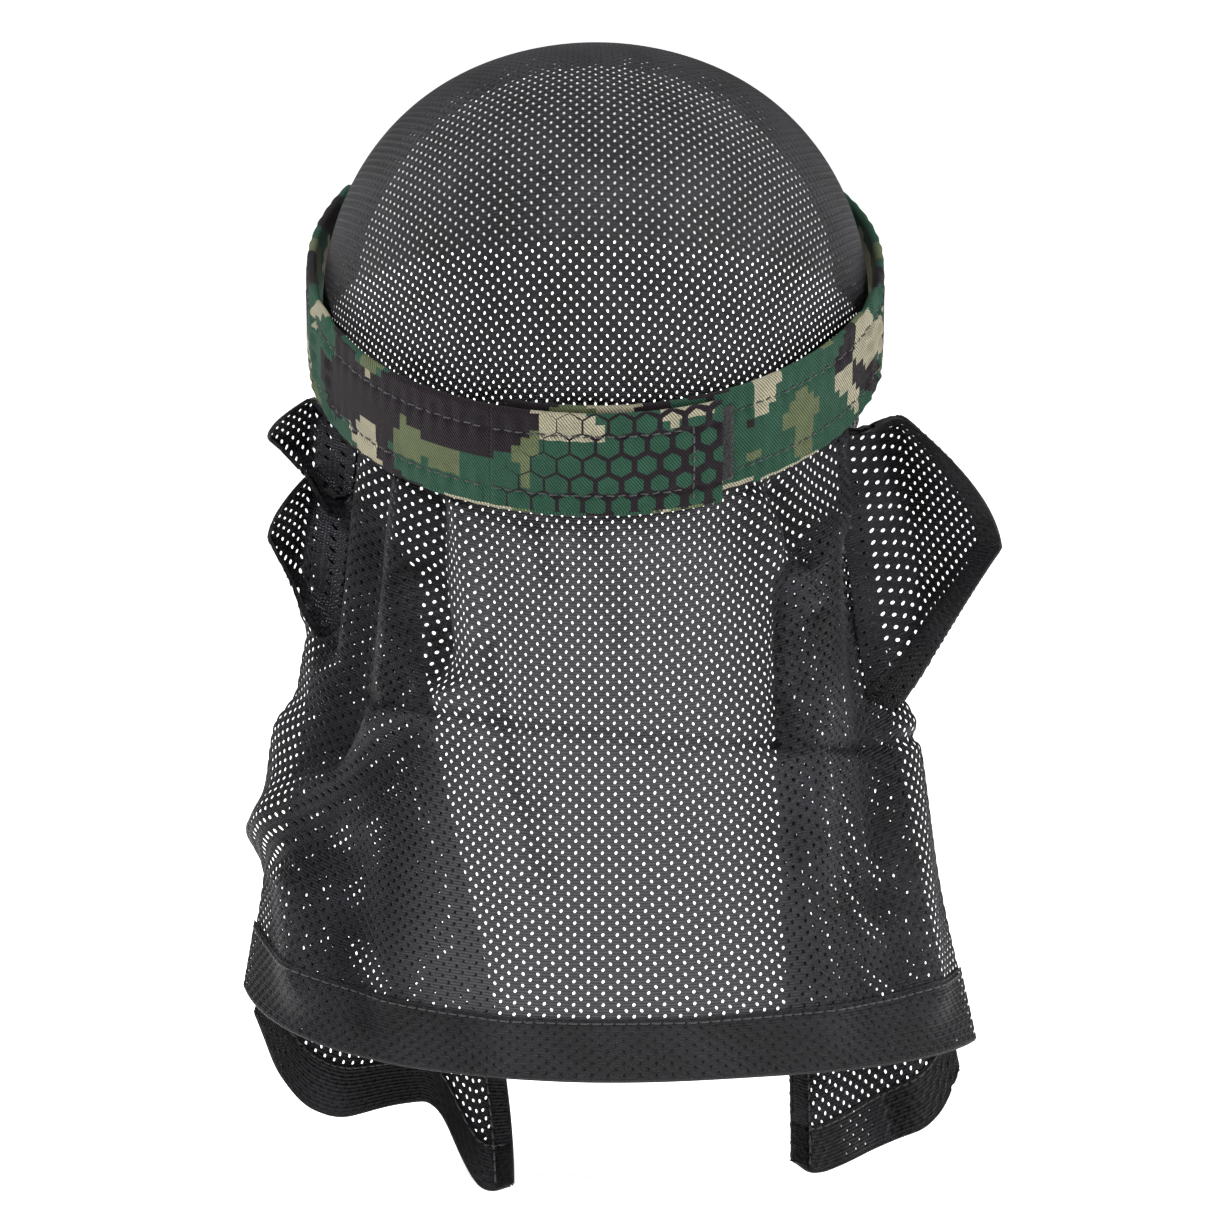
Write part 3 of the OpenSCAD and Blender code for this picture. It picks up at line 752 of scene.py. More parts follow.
def drape_folds(points, v):
    x, z = points[..., 0], points[..., 2]
    # The left side is gathered more deeply than the right
    total = mix(1.95, 1.6, ease((x + 30) / 50)) * sum(fold(x, z, *row) for row in FOLDS)
    gather = 1.5 * np.sin(x / 3.6 + 2.1 * np.sin(x / 11)) * np.exp(-np.clip(v, 0, 1) / 0.07)
    ripple = 1.6 * np.sin(x / 13.5 + 0.8) * ease((v - 0.72) / 0.28)
    return (total + gather) * ease(v / 0.04) * (1 - ease((v - 0.9) / 0.1) * 0.7) + ripple


class Drape:
    """The drape over its flat coordinates: x across from the spine, y up from the hem's lower edge."""

    half_flat = 128.0
    length = 186.0

    def place(self, x, y):
        s = x / self.half_flat
        v = 1 - y / self.length
        base = drape_base(s, v)
        step = 1e-3
        normal = np.cross(drape_base(s + step, v) - drape_base(s - step, v),
                          drape_base(s, v - step) - drape_base(s, v + step))
        normal /= np.linalg.norm(normal, axis=-1, keepdims=True)
        return base + normal * drape_folds(base, v)[..., None]


def add_drape(material, hem_material, thread):
    drape = Drape()
    hem_top = (1 - HEM_START) * drape.length
    sheet = Sheet(drape.place, (-drape.half_flat, drape.half_flat), (0, drape.length + 1), 1.3)

    back = mesh_cloth("drape_cloth", sheet, (-drape.half_flat, drape.half_flat, hem_top * 0.9, drape.length),
                      material)
    attach(back, "wrap", "mesh_cloth", "drape_back")
    add_hem("back_hem", sheet, (-drape.half_flat, drape.half_flat, 0.2, hem_top), hem_material,
            0.75, (1.1, 0), "back_hem")
    rolled_edge("back_hem_edge", lambda x: sheet.place(x, np.full_like(x, 0.3)),
                -drape.half_flat, drape.half_flat, 0.85, hem_material)

    def seam(x):
        return sheet.place(x, np.full_like(x, hem_top - 1.5), np.full_like(x, 1.15))

    stitch_row("back_hem_stitches", seam, -drape.half_flat + 1, drape.half_flat - 1, HEM_STITCH_PITCH, thread)


def add_hem(name, sheet, cut, material, out, shift, node):
    """Both layers of a hem, out from the sheet; the outer one stands for the CAD node."""
    for layer, side, nodes in (("outer", out, [node]), ("inner", -out, [])):
        piece = mesh_cloth(f"{name}_{layer}", sheet, cut, material, shift if nodes else (0, 0), side,
                           HEM_HOLE_SHARE)
        attach(piece, "wrap", "mesh_hem", *nodes)


def rolled_edge(name, line, start, end, radius, material):
    """The turned edge of a hem: a thin soft roll along a line of points."""
    attach(tube(name, line(np.arange(start, end, 1.2)), radius, material), "wrap", "mesh_hem")


def tube(name, points, radius, material, sides=8):
    """A round tube along a line of points, closed at both ends."""
    points = np.asarray(points, float)
    tangent = np.gradient(points, axis=0)
    tangent /= np.maximum(np.linalg.norm(tangent, axis=1, keepdims=True), 1e-9)
    helper = np.where(np.abs(tangent[:, 2:3]) > 0.9, [[1.0, 0, 0]], [[0.0, 0, 1.0]])
    side = np.cross(tangent, helper)
    side /= np.linalg.norm(side, axis=1, keepdims=True)
    up = np.cross(side, tangent)
    turn = np.linspace(0, 2 * np.pi, sides, endpoint=False)
    rings = (points[:, None] + radius * (np.cos(turn)[None, :, None] * side[:, None]
                                         + np.sin(turn)[None, :, None] * up[:, None]))
    run = np.concatenate([[0], np.cumsum(np.linalg.norm(np.diff(points, axis=0), axis=1))])
    uv = np.stack(np.broadcast_arrays(run[:, None], turn[None] * radius), -1)
    obj = grid_object(name, rings, uv, material, closed=True)
    cap_ends(obj, len(points), sides, sides)
    return obj


def cap_ends(obj, rows, cols, count, weld=False):
    """Closes both ends of a swept tube, over count points of each; weld joins its seam."""
    bm = bmesh.new()
    bm.from_mesh(obj.data)
    bm.verts.ensure_lookup_table()
    bm.faces.new([bm.verts[k] for k in range(count)][::-1])
    bm.faces.new([bm.verts[(rows - 1) * cols + k] for k in range(count)])
    if weld:
        bmesh.ops.remove_doubles(bm, verts=bm.verts, dist=1e-7)
        bmesh.ops.recalc_face_normals(bm, faces=bm.faces)
    bm.normal_update()
    bm.to_mesh(obj.data)
    bm.free()


STITCH_LENGTH = 2.5
STITCH_RADIUS = 0.26
HEM_STITCH_PITCH = 3.0
BAND_STITCH_PITCH = 3.3
STITCH_LIFT = 0.18


def stitch_row(name, line, start, end, pitch, material, body="wrap", nodes=()):
    """A row of lockstitches: short rounded threads that dip into the cloth at both ends."""
    starts = np.arange(start, end - STITCH_LENGTH, pitch)
    stations = np.array([0, 0.12, 0.5, 0.88, 1.0])
    swell = np.array([0.45, 0.95, 1.0, 0.95, 0.45])
    sink = np.array([-0.42, 0.02, 0.14, 0.02, -0.42])
    at = starts[:, None] + stations[None] * STITCH_LENGTH
    centre = line(at.ravel()).reshape(len(starts), len(stations), 3)
    ahead = line((at + 0.2).ravel()).reshape(centre.shape)
    tangent = ahead - centre
    tangent /= np.maximum(np.linalg.norm(tangent, axis=-1, keepdims=True), 1e-9)
    outward = np.stack([centre[..., 0] * 0.6, centre[..., 1], np.zeros_like(centre[..., 0])], -1)
    outward -= (outward * tangent).sum(-1, keepdims=True) * tangent
    outward /= np.maximum(np.linalg.norm(outward, axis=-1, keepdims=True), 1e-9)
    across = np.cross(tangent, outward)
    centre = centre + outward * sink[None, :, None]
    sides = 6
    turn = np.linspace(0, 2 * np.pi, sides, endpoint=False)
    ring = (centre[:, :, None] + STITCH_RADIUS * swell[None, :, None, None]
            * (np.cos(turn)[None, None, :, None] * across[:, :, None]
               + np.sin(turn)[None, None, :, None] * outward[:, :, None]))
    n = len(stations)
    base = (np.arange(len(starts)) * n * sides)[:, None, None]
    i, j = np.meshgrid(np.arange(n - 1), np.arange(sides), indexing="ij")
    a = (i * sides + j)[None] + base
    b = (i * sides + (j + 1) % sides)[None] + base
    quads = np.stack([a, b, b + sides, a + sides], -1).reshape(-1, 4)
    ends = []
    for first in (0, (n - 1) * sides):
        order = np.arange(sides) if first else np.arange(sides)[::-1]
        hexagon = base[:, 0, 0][:, None] + first + order[None]
        ends += [hexagon[:, [0, 1, 2, 3]], hexagon[:, [0, 3, 4, 5]]]
    faces = np.concatenate([quads, *ends])
    return attach(make_object(name, ring.reshape(-1, 3), faces, None, material), body, "thread", *nodes)


# ---- Turned-in sides of the drape ---------------------------------------------------------------

LEFT_INNER_X, RIGHT_INNER_X = 24.0, 57.0
LEFT_LOWER, RIGHT_LOWER = DRAPE_DROP + 38, DRAPE_DROP + 34
RETURN_LENGTH = 174.0
RETURN_HEM = 13.0

# How far the lower edge of each turned-in side leaves a straight line from the fold to the corner
LEFT_EDGE = ((0, 0.05, 0.18, 0.32, 0.5, 0.7, 0.77, 0.83, 0.92, 1.0),
             (-5, -20, -26, -21, -7, 7, 2, -7, -7, 3))
RIGHT_EDGE = ((0, 0.08, 0.2, 0.45, 0.7, 0.84, 0.93, 1.0), (-8, -17, -19, -15, -9, -6, -2, 6))


def return_point(side, inner_x, lower, q, v):
    """q runs from the fold at the drape's side to the cloth's own side edge, v downwards."""
    edge_of_drape = drape_base(np.full_like(v, side), mix(0.16, 1, v))
    folded = edge_of_drape + np.array([-3 * side, 7, 0])
    inner = np.stack([side * mix(52, inner_x, ease(v)), mix(-34, -70, v), mix(-76, -lower, v)], -1)
    edge = LEFT_EDGE if side < 0 else RIGHT_EDGE
    drop = sum(np.interp(q + shift, *edge) for shift in np.linspace(-0.05, 0.05, 7)) / 7
    drop = drop * np.clip(v, 0, 1) ** 2.5
    bow = np.stack([np.zeros_like(v), 10 * np.sin(np.pi * q) * (1 - 0.7 * v), drop], -1)
    waves = 3.2 * np.sin(q * 10.5 + 2.2 * v + side) * ease(v / 0.2) * np.sin(np.pi * np.clip(q, 0, 1)) ** 0.5
    point = mix(folded, inner, q[..., None]) + bow
    point[..., 1] += waves
    return point


def add_return(side, name, inner_x, lower, material, hem_material, thread):
    length = RETURN_LENGTH
    table_v = np.linspace(0, 1, 80)
    q = np.linspace(0, 1, 90)
    spread = return_point(side, inner_x, lower, *np.meshgrid(q, table_v))
    widths = np.linalg.norm(np.diff(spread, axis=1), axis=2).sum(1)
    width = float(widths.max())

    def width_at(y):
        return np.interp(1 - y / length, table_v, widths)

    def place(x, y):
        return return_point(side, inner_x, lower, np.clip(x / width_at(y), 0, 1.02), 1 - y / length)

    sheet = Sheet(place, (0, width), (0, length), 1.3)
    if side > 0:
        sheet.normals = -sheet.normals

    def side_hem_start(y):
        return width_at(y) - SIDE_HEM_WIDTH

    body_cut = (0, lambda y: side_hem_start(y) + 1, RETURN_HEM - 1, length)
    body = mesh_cloth(f"{name}_return_cloth", sheet, body_cut, material)
    attach(body, "wrap", "mesh_cloth", f"drape_{name}_return")
    cloth_area(sheet, body_cut)
    for part, cut, node in (
            ("hem", (0, width_at, 0, RETURN_HEM), f"{name}_return_hem"),
            ("side_hem", (side_hem_start, width_at, 0, length), f"{name}_side_hem")):
        add_hem(f"{name}_return_{part}", sheet, cut, hem_material, 0.6, (1.3, 0.4), node)
    bottom_width = float(widths[-1])

    def bottom(t, height, out=0.0):
        return sheet.place(t, np.full_like(t, height), np.full_like(t, out))

    def side_line(t, inset, out=0.0):
        return sheet.place(width_at(t) - inset, t, np.full_like(t, out))

    for part, edge, seam, end, seam_end in (
            ("bottom", lambda t: bottom(t, 0.4), lambda t: bottom(t, RETURN_HEM - 1, 1.0),
             bottom_width, bottom_width - 9),
            ("side", lambda t: side_line(t, 0.4), lambda t: side_line(t, SIDE_HEM_WIDTH - 1, 1.0),
             length, length - 2)):
        rolled_edge(f"{name}_return_{part}_edge", edge, 0.5, end - 0.5, 0.7, hem_material)
        stitch_row(f"{name}_return_{part}_stitches", seam, 2, seam_end, HEM_STITCH_PITCH, thread)


# ---- Wings: gathered cloth that stands out behind each ear ------------------------------------------

# Cloth along the drape's side, from the band to the hem
WING_CLOTH_LENGTH = 205

def add_wing(name, side, reach, v0, v1, peak, material, hem_material, thread, hem=False):
    """A wing springs from the drape's side between two stations and comes to a soft point."""
    length = (v1 - v0) * WING_CLOTH_LENGTH
    width = reach * 1.25

    def outline(v):
        """Share of the reach at each station: it rises to the point and falls again."""
        rising = np.sin(np.clip(v / peak, 0, 1) * np.pi / 2) ** 0.85
        falling = np.clip((1 - v) / (1 - peak), 0, 1)
        return 0.12 + 0.88 * np.minimum(rising, falling)

    def place(x, y):
        v = 1 - y / length
        q = x / (width * outline(v))
        # The root is tucked behind the drape, and comes clear of it as the wing stands out
        clear = ease(q * outline(v) / 0.35)
        base = drape_base(side * mix(0.80, 1.0, clear), mix(v0, v1, v))
        out = reach * q * outline(v)
        ruffle = 3.0 * np.sin(v * 9 + 2.4 * q) * ease((q + 0.2) / 0.9)
        sag = 5 * np.sin(np.pi * np.clip(q, 0, 1)) - 12 * q
        return base + np.stack([side * out, sag + ruffle + 6 * (1 - clear), -4 * q], -1)

    sheet = Sheet(place, (0, width), (0, length), 0.8)
    if side > 0:
        sheet.normals = -sheet.normals
    strip = SIDE_HEM_WIDTH if hem else 0.5

    def edge_x(y):
        return width * outline(1 - y / length)

    def hem_x(y):
        return np.maximum(edge_x(y) - strip, 0)

    cut = (0, lambda y: hem_x(y) + 0.8, 0, length)
    piece = mesh_cloth(f"{name}_cloth", sheet, cut, material)
    attach(piece, "wrap", "mesh_cloth", name)
    # Laid flat, the wing is as wide as its widest row; the root takes up the rest of its cloth
    rows = np.linalg.norm(np.diff(sheet.points, axis=1), axis=-1).sum(1)
    widest = float((rows * hem_x(sheet.ys) / width).max())
    area = min(cloth_area(sheet, cut), 0.98 * widest * length * MM * MM)
    rolled_edge(f"{name}_edge", lambda t: sheet.place(edge_x(t) - 0.3, t), 0.5, length - 0.5, 0.6,
                hem_material)
    if hem:
        add_hem(f"{name}_hem", sheet, (hem_x, edge_x, 0, length), hem_material, 0.55, (1.4, 0.3),
                f"{name}_hem")
        stitch_row(f"{name}_stitches", lambda t: sheet.place(hem_x(t) + 1, t, np.full_like(t, 0.9)),
                   2, length - 2, HEM_STITCH_PITCH, thread)


# ---- Straps --------------------------------------------------------------------------------------

STRAP_CROWN = 0.35
STRAP_SUNK = 0.15


def strap_relief(x, level_y):
    """Height of the outer face above the plain strap: crowned, with puckers along both rows of
    stitches."""
    inset = STRAP_HEIGHT / 2 - STITCH_INSET
    rows = hump(level_y, inset, 0.9) + hump(level_y, -inset, 0.9)
    near = hump(level_y, inset, 4.5) + hump(level_y, -inset, 4.5)
    pucker = 0.30 * np.sin(x * 2 * np.pi / 5.1 + 1.4 * np.sin(x / 9)) * near
    edge = 0.16 * np.sin(x * 2 * np.pi / 7.3 + level_y / 3) * ease((np.abs(level_y) - 11) / 5)
    crown = STRAP_CROWN * np.cos(np.pi * level_y / STRAP_HEIGHT) ** 2 - STRAP_SUNK
    return -0.55 * rows + pucker + edge + crown


def strip_ring(share, turn, half, thickness):
    """Cross-section of a padded strip, outer face first, then over the top edge, down the inner face
    and round the bottom: its levels, its depths and how far each point is on the outer side."""
    corner = thickness / 2
    flat = share * (half - corner)
    over, round_edge = corner * np.cos(turn), corner * np.sin(turn)
    levels = np.concatenate([flat, half - corner + over, flat[::-1], -half + corner - over])
    depths = np.concatenate([np.zeros(len(flat)), corner - round_edge, np.full(len(flat), thickness),
                             corner + round_edge])
    outer = np.concatenate([np.ones(len(flat)), 0.5 + 0.5 * np.sin(turn), np.zeros(len(flat)),
                            0.5 - 0.5 * np.sin(turn)])
    run = np.concatenate([[0], np.cumsum(np.hypot(np.diff(levels), np.diff(depths)))])
    return levels, depths, outer, run


def swept_strip(name, points, uv, seam_run, material):
    """The mesh of a strip; its last column meets the first, with flat coordinates of its own."""
    points = np.concatenate([points, points[:, :1]], 1)
    uv = np.concatenate([uv, uv[:, :1] + [0, seam_run]], 1)
    obj = grid_object(name, points, uv, material)
    cap_ends(obj, len(points), points.shape[1], points.shape[1] - 1, weld=True)
    return obj


def add_strap(name, oval, start, end, nodes, body, material, pinches=(), uv_shift=0.0):
    """A twill tube along an oval between two bearings: soft rounded edges, quilted by its stitches."""
    x0, x1 = float(oval.distance(start)), float(oval.distance(end))
    along = np.linspace(x0, x1, max(8, round((x1 - x0) / 0.7)))
    turn = np.radians(np.linspace(90, -90, 9)[1:-1])
    level_ring, depth_ring, outer, run = strip_ring(np.linspace(-1, 1, 44), turn, STRAP_HEIGHT / 2,
                                                    STRAP_THICKNESS)
    xs, levels = np.meshgrid(along, level_ring, indexing="ij")
    out = np.broadcast_to(outer, xs.shape)
    relief = strap_relief(xs, levels) * out + 0.3 * (1 - out)
    narrow = np.ones_like(xs)
    bearings = oval.bearing(xs)
    for middle, width, share in pinches:
        narrow -= share * hump(bearings, middle, width)
        relief += 0.9 * np.sin(levels * 1.1) * hump(bearings, middle, width) * out
    placed = tilted(oval.at(bearings, depth_ring - relief, levels * narrow))
    uv = np.stack([xs + uv_shift, np.broadcast_to(run + level_ring[0], xs.shape)], -1)
    obj = swept_strip(name, placed, uv, run[-1], material)
    return attach(obj, body, "camo_twill", *nodes)


def strap_stitches(name, oval, start, end, body, thread, nodes):
    x0, x1 = float(oval.distance(start)), float(oval.distance(end))
    parts = []
    for part, side in (("lower", -1), ("upper", 1)):
        at = side * (STRAP_HEIGHT / 2 - STITCH_INSET)

        def line(x):
            raised = strap_relief(x, np.full_like(x, at))
            return tilted(oval.at(oval.bearing(x), -raised - STITCH_LIFT, at))

        parts.append(stitch_row(f"{name}_{part}", line, x0, x1, BAND_STITCH_PITCH, thread, body,
                                () if parts else nodes))
    return parts


# ---- Forehead pad ------------------------------------------------------------------------------

PAD_END = 24.0
PAD_SPAN = 90 - PAD_END
PAD_HEIGHT = 54.0
PAD_LEAN = math.tan(math.radians(7))
PAD_DEPTH = 7.7
LINER_INSET = 4.2


def pad_half(front):
    """Half height of the pad at a bearing from the middle of the forehead."""
    return mix(STRAP_HEIGHT, PAD_HEIGHT, np.cos(np.radians(90 * front / PAD_SPAN))) / 2


def pad_at(front, depth, level_z):
    """A point of the pad by its bearing from the forehead; the pad leans in as it rises."""
    bearing = np.where(front < 0, -1, 1) * (180 - np.abs(front))
    return tilted(OUTER.at(bearing, depth + level_z * PAD_LEAN, level_z))


def add_pad(cover_material, liner_material, tape_material, thread):
    fronts = np.linspace(-PAD_SPAN, PAD_SPAN, 360)
    turn = np.radians(np.linspace(90, -90, 13)[1:-1])
    share = np.linspace(-1, 1, 60)
    halves = [float(pad_half(front)) for front in fronts]
    rings = [strip_ring(share, turn, half, PAD_DEPTH) for half in halves]
    levels, depths, outs, runs = (np.array(part) for part in zip(*rings))
    runs -= np.array(halves)[:, None]
    front_grid = np.broadcast_to(fronts[:, None], levels.shape)
    half_grid = pad_half(front_grid)
    along = np.radians(front_grid) * NAPE_RADIUS
    row = half_grid - STITCH_INSET
    stitched = hump(levels, row, 1.1) + hump(levels, -row, 1.1)
    near = hump(levels, row, 6) + hump(levels, -row, 6)
    swell = 1.7 * np.clip(np.cos(np.pi * levels / (2 * half_grid)), 0, 1) ** 1.2
    pucker = 0.45 * np.sin(along * 2 * np.pi / 6.3 + 1.3 * np.sin(along / 11)) * near
    relief = (swell - 1.5 * stitched + pucker) * outs - 1.6 * ease((0.4 - outs) / 0.4)
    # The pad closes to a soft point where each strap takes over
    taper = ease((PAD_SPAN - np.abs(front_grid)) / 3.0)
    middle = PAD_DEPTH / 2
    depths = middle + (depths - middle) * (0.45 + 0.55 * taper) - (1 - taper) * 1.6
    placed = pad_at(front_grid, depths - relief * taper, levels * (0.93 + 0.07 * taper))
    cover = swept_strip("front_pad", placed, np.stack([along, runs], -1), 2 * PAD_HEIGHT, cover_material)
    attach(cover, "wrap", "camo_twill", "front_cover", "front_foam")

    # Towelling liner: a looped cloth over the inner face, with soft quilting
    inner_fronts = np.linspace(-PAD_SPAN + 4, PAD_SPAN - 4, 300)
    f, t = np.meshgrid(inner_fronts, np.linspace(-1, 1, 70), indexing="ij")
    liner_half = pad_half(f) - LINER_INSET
    z = t * liner_half
    run = np.radians(f) * (NAPE_RADIUS - PAD_DEPTH)
    puff = 0.7 * (1 - np.abs(t) ** 5) * (1 - 0.75 * hump(np.abs((run + 15) % 30 - 15), 0, 1.5))
    loops = 0.10 * np.sin(run * 4.1 + 2 * np.sin(z * 1.3)) * np.sin(z * 4.6 + 2 * np.sin(run * 0.9))
    depth = PAD_DEPTH - 1.45 + puff + loops
    liner = grid_object("towelling_liner", pad_at(f, depth, z), np.stack([run, z], -1), liner_material)
    attach(liner, "wrap", "towelling", "front_liner")

    # Binding tape along the liner's edge, and the tape that holds the crown's front edge
    for part, side in (("upper", 1), ("lower", -1)):
        points = pad_at(inner_fronts, PAD_DEPTH - 0.9, side * (pad_half(inner_fronts) - LINER_INSET))
        attach(tube(f"liner_binding_{part}", points, 0.9, tape_material, 10), "wrap", "thread")
    f, z = np.meshgrid(np.linspace(-PAD_SPAN + 5, PAD_SPAN - 5, 260), np.linspace(-9, 0, 14), indexing="ij")
    wave = 0.12 * np.sin(np.radians(f) * NAPE_RADIUS * 1.8)
    tape = grid_object("front_seam_tape_ribbon", pad_at(f, PAD_DEPTH + 0.05 + wave, z),
                       np.stack([np.radians(f) * NAPE_RADIUS, z], -1), tape_material)
    attach(tape, "wrap", "elastic_webbing", "front_seam_tape")

    for part, side, nodes in (("lower", -1, ["front_stitching"]), ("upper", 1, [])):
        def line(x):
            front = np.degrees(x / NAPE_RADIUS)
            return pad_at(front, -0.75, side * (pad_half(front) - STITCH_INSET))

        end = math.radians(PAD_SPAN - 4) * NAPE_RADIUS
        stitch_row(f"front_stitches_{part}", line, -end, end, BAND_STITCH_PITCH, thread, "wrap", nodes)


# ---- Nape closure --------------------------------------------------------------------------------

def patch(name, oval, start, end, height, depth, thickness, body, node, slot, material, nap, seed):
    """A strip of hook or loop tape: a thin padded strip whose outer face carries a fine nap."""
    x0, x1 = float(oval.distance(start)), float(oval.distance(end))
    xs, zs = np.meshgrid(np.linspace(x0, x1, max(8, round((x1 - x0) / 0.45))),
                         np.linspace(-height / 2, height / 2, round(height / 0.45)), indexing="ij")
    rng = np.random.default_rng(seed)
    fuzz = rng.uniform(0, nap, xs.shape)
    edge = np.minimum(np.minimum(xs - x0, x1 - xs), np.minimum(zs + height / 2, height / 2 - zs))
    rise = (thickness + fuzz) * ease((edge + 0.2) / 1.0)
    placed = tilted(oval.at(oval.bearing(xs), depth - rise, zs))
    attach(grid_object(name, placed, np.stack([xs, zs], -1), material), body, slot, node)


def add_fuzz(name, oval, start, end, height, depth, body, slot, material, count, reach, seed):
    """Short bent fibres standing out of the loop tape."""
    rng = np.random.default_rng(seed)
    x0, x1 = float(oval.distance(start)), float(oval.distance(end))
    x = rng.uniform(x0, x1, count)
    z = rng.uniform(-height / 2, height / 2, count)
    out = rng.uniform(0.35, 1.0, count) * reach
    lean = rng.normal(0, 0.5, (count, 2)) * reach
    width = 0.09
    strips = []
    for sign in (-1, 1):
        rows = []
        for t in (0, 0.5, 1.0):
            rows.append(tilted(oval.at(oval.bearing(x + lean[:, 0] * t ** 2 + sign * width * (1 - 0.8 * t)),
                                       depth - out * t, z + lean[:, 1] * t ** 2)))
        strips.append(np.stack(rows, 1))
    points = np.stack(strips, 2).reshape(-1, 3)
    base = np.arange(count)[:, None] * 6
    faces = np.concatenate([base + np.array([0, 1, 3, 2]), base + np.array([2, 3, 5, 4])])
    attach(make_object(name, points, faces, None, material), body, slot)


TAIL_BAR_BEARING = 20.5
TAPE_HEIGHT = 24


def bend(body_a, body_b, start, end):
    points = {"start": start, "end": end}
    return (body_a, body_b), {k: tuple(tilted(OUTER.at(v, 0, 0)) * MM) for k, v in points.items()}


def add_band(twill, plain_twill, thread, loop, hook, elastic):
    join = OUTER.join
    cut = TAIL_ROOT_BEARING - 6
    left_end = -(90 + PAD_END)
    # Left strap and nape strap are one visible tube; it gathers where the nape strap slides
    bodies, ends = bend("wrap", "nape_band", -join - 6, -join + 10)
    left = add_strap("left_band", OUTER, left_end + 0.5, cut, ["left_strap", "nape_strap"], None,
                     twill, pinches=((-78, 2.2, 0.10), (-70, 1.6, 0.06)))
    rows = strap_stitches("left_band_stitches", OUTER, left_end + 1.5, cut - 0.5, None, thread,
                          ["left_strap_stitching", "nape_strap_stitching"])
    for piece in (left, *rows):
        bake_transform(piece)

    bodies, ends = bend("nape_band", "tail", TAIL_ROOT_BEARING - 1.2, TAIL_ROOT_BEARING + 2.4)
    tail = add_strap("tail_band", OUTER, cut, TAIL_END_BEARING, ["tail_strap"], None, twill)
    rows = strap_stitches("tail_stitches", OUTER, cut + 0.5, TAIL_BAR_BEARING - 0.5, None, thread,
                          ["tail_stitching"])
    for piece in (tail, *rows):
        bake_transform(piece)

    def bar(level_z):
        at = float(OUTER.distance(TAIL_BAR_BEARING))
        raised = strap_relief(np.full_like(level_z, at), level_z)
        return tilted(OUTER.at(TAIL_BAR_BEARING, -raised - STITCH_LIFT, level_z))

    stitch_row("tail_bar_stitches", bar, -13, 13, HEM_STITCH_PITCH, thread, "tail", ["tail_bar_seam"])

    centre_shift = OUTER.side_centre - UNDER.side_centre
    under_end = 90 + PAD_END + 0.5 + math.degrees(
        math.asin(centre_shift * math.sin(math.radians(PAD_END)) / UNDER.side))
    add_strap("right_band", UNDER, TAIL_ROOT_BEARING - 4, under_end, ["right_strap"], "wrap", plain_twill,
              pinches=((72, 2.0, 0.08), (80, 2.0, 0.10)), uv_shift=340.0)
    strap_stitches("right_band_stitches", UNDER, LOOP_END_BEARING + 1.5, under_end - 1, "wrap", thread,
                   ["right_strap_stitching"])

    loop_depth = STRAP_THICKNESS + HOOK_THICKNESS + CLOSURE_GAP
    patch("loop_tape", OUTER, TAIL_ROOT_BEARING - 3, LOOP_END_BEARING, TAPE_HEIGHT,
          loop_depth + LOOP_THICKNESS, 0.75, "wrap", "loop_field", "loop_pile", loop, 0.22, 7)
    add_fuzz("loop_pile_fibres", OUTER, TAIL_END_BEARING - 1.5, LOOP_END_BEARING, TAPE_HEIGHT - 1,
             loop_depth, "wrap", "loop_pile", loop, 2600, 0.75, 11)
    # The hooks face inwards, so the patch is laid the other way round
    patch("hook_tape_patch", OUTER, TAIL_ROOT_BEARING + 3, TAIL_END_BEARING - 1.5, TAPE_HEIGHT,
          STRAP_THICKNESS + 0.05, -0.5, "tail", "hook_patch", "hook_tape", hook, 0.0, 5)

    for name in ("left_elastic", "right_elastic"):
        node = frame["nodes"][name]
        node.data.materials.clear()
        node.data.materials.append(elastic)


# ---- Everything together ---------------------------------------------------------------------------

add_camera()
add_studio()

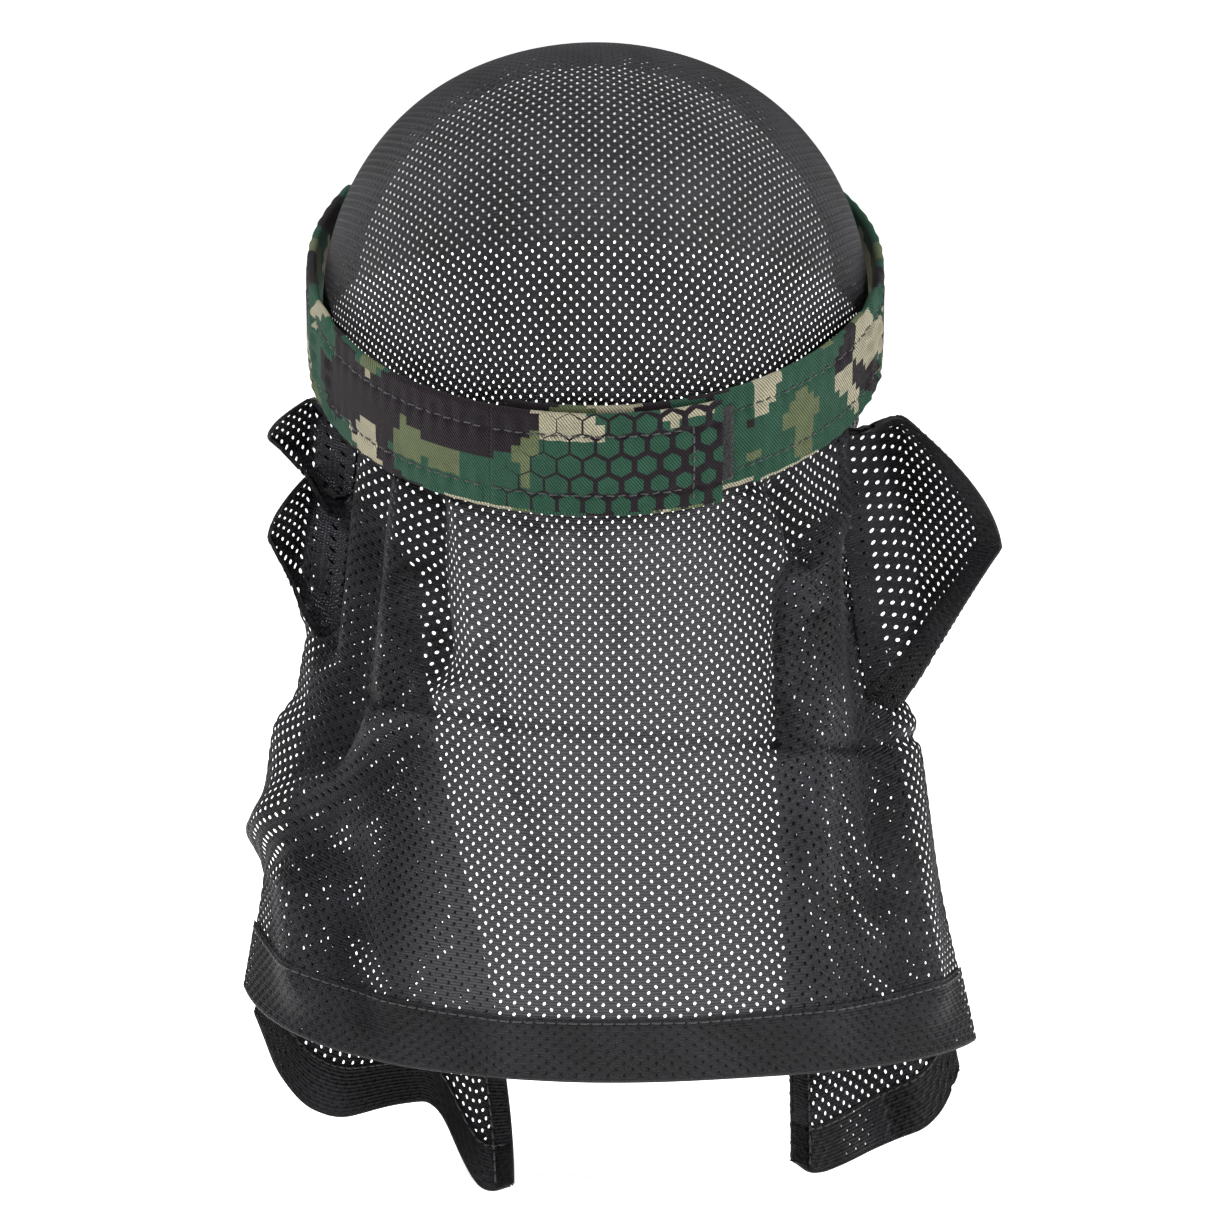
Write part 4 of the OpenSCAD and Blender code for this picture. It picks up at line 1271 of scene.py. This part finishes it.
MESH = mesh_material("black_mesh", YARN_DARK, YARN_LIGHT, 0.34)
# The drape's middle is painted paler: painted light for light coming through the cloth from behind
DRAPE_MESH = mesh_material("drape_mesh", YARN_DARK, YARN_LIGHT, 0.34, 60)
HEM = mesh_material("hem_mesh", colour(5, 5, 7), colour(17, 16, 20), 0.38)
THREAD = plain_material("black_thread", colour(14, 14, 16), colour(34, 34, 38), 2600, 0.6, 0.08)
LOOP = plain_material("loop_pile", colour(8, 8, 10), colour(24, 24, 28), 1400, 0.85, 0.2, 0.2)
HOOK = plain_material("hook_tape", colour(18, 18, 20), colour(34, 34, 37), 1200, 0.5, 0.2)
ELASTIC = plain_material("elastic_webbing", colour(24, 24, 26), colour(46, 46, 50), 900, 0.75, 0.15)
TOWEL = plain_material("towelling", colour(150, 152, 152), colour(196, 198, 196), 900, 0.95, 0.45, 0.6)
# Over the nape the print is mostly green, with one dark block above the honeycomb's large end
NAPE_PATCHES = (("dark", -0.5, (10, -4), (62, 34)), ("olive", -0.35, (12, -8), (60, 30)),
                ("dark", 0.75, (-40, 10), (26, 15)), ("tan", 0.22, (-6, 12), (20, 10)),
                ("tan", -0.4, (8, -12), (64, 20)),
                ("tan", 0.3, (-74, -6), (13, 22)), ("dark", 0.3, (-92, 4), (17, 20)))
# The honeycomb's pitch, where its hexagons touch, and where they are smallest
HONEYCOMB = (7.4, -31.0, 38.0)
TWILL = twill_material("camo_twill", 0.0, HONEYCOMB, NAPE_PATCHES)
PLAIN_TWILL = twill_material("camo_twill_plain", 52.0)

add_crown(MESH)
add_nape_cloth(MESH)
add_drape(DRAPE_MESH, HEM, THREAD)
add_return(-1, "left", LEFT_INNER_X, LEFT_LOWER, MESH, HEM, THREAD)
add_return(1, "right", RIGHT_INNER_X, RIGHT_LOWER, MESH, HEM, THREAD)
add_wing("left_upper_wing", -1, 18, 0.00, 0.15, 0.50, MESH, HEM, THREAD)
add_wing("left_lower_wing", -1, 15, 0.12, 0.35, 0.52, MESH, HEM, THREAD)
add_wing("right_wing", 1, 37, 0.01, 0.44, 0.52, MESH, HEM, THREAD, hem=True)
add_pad(PLAIN_TWILL, TOWEL, ELASTIC, THREAD)
add_band(TWILL, PLAIN_TWILL, THREAD, LOOP, HOOK, ELASTIC)
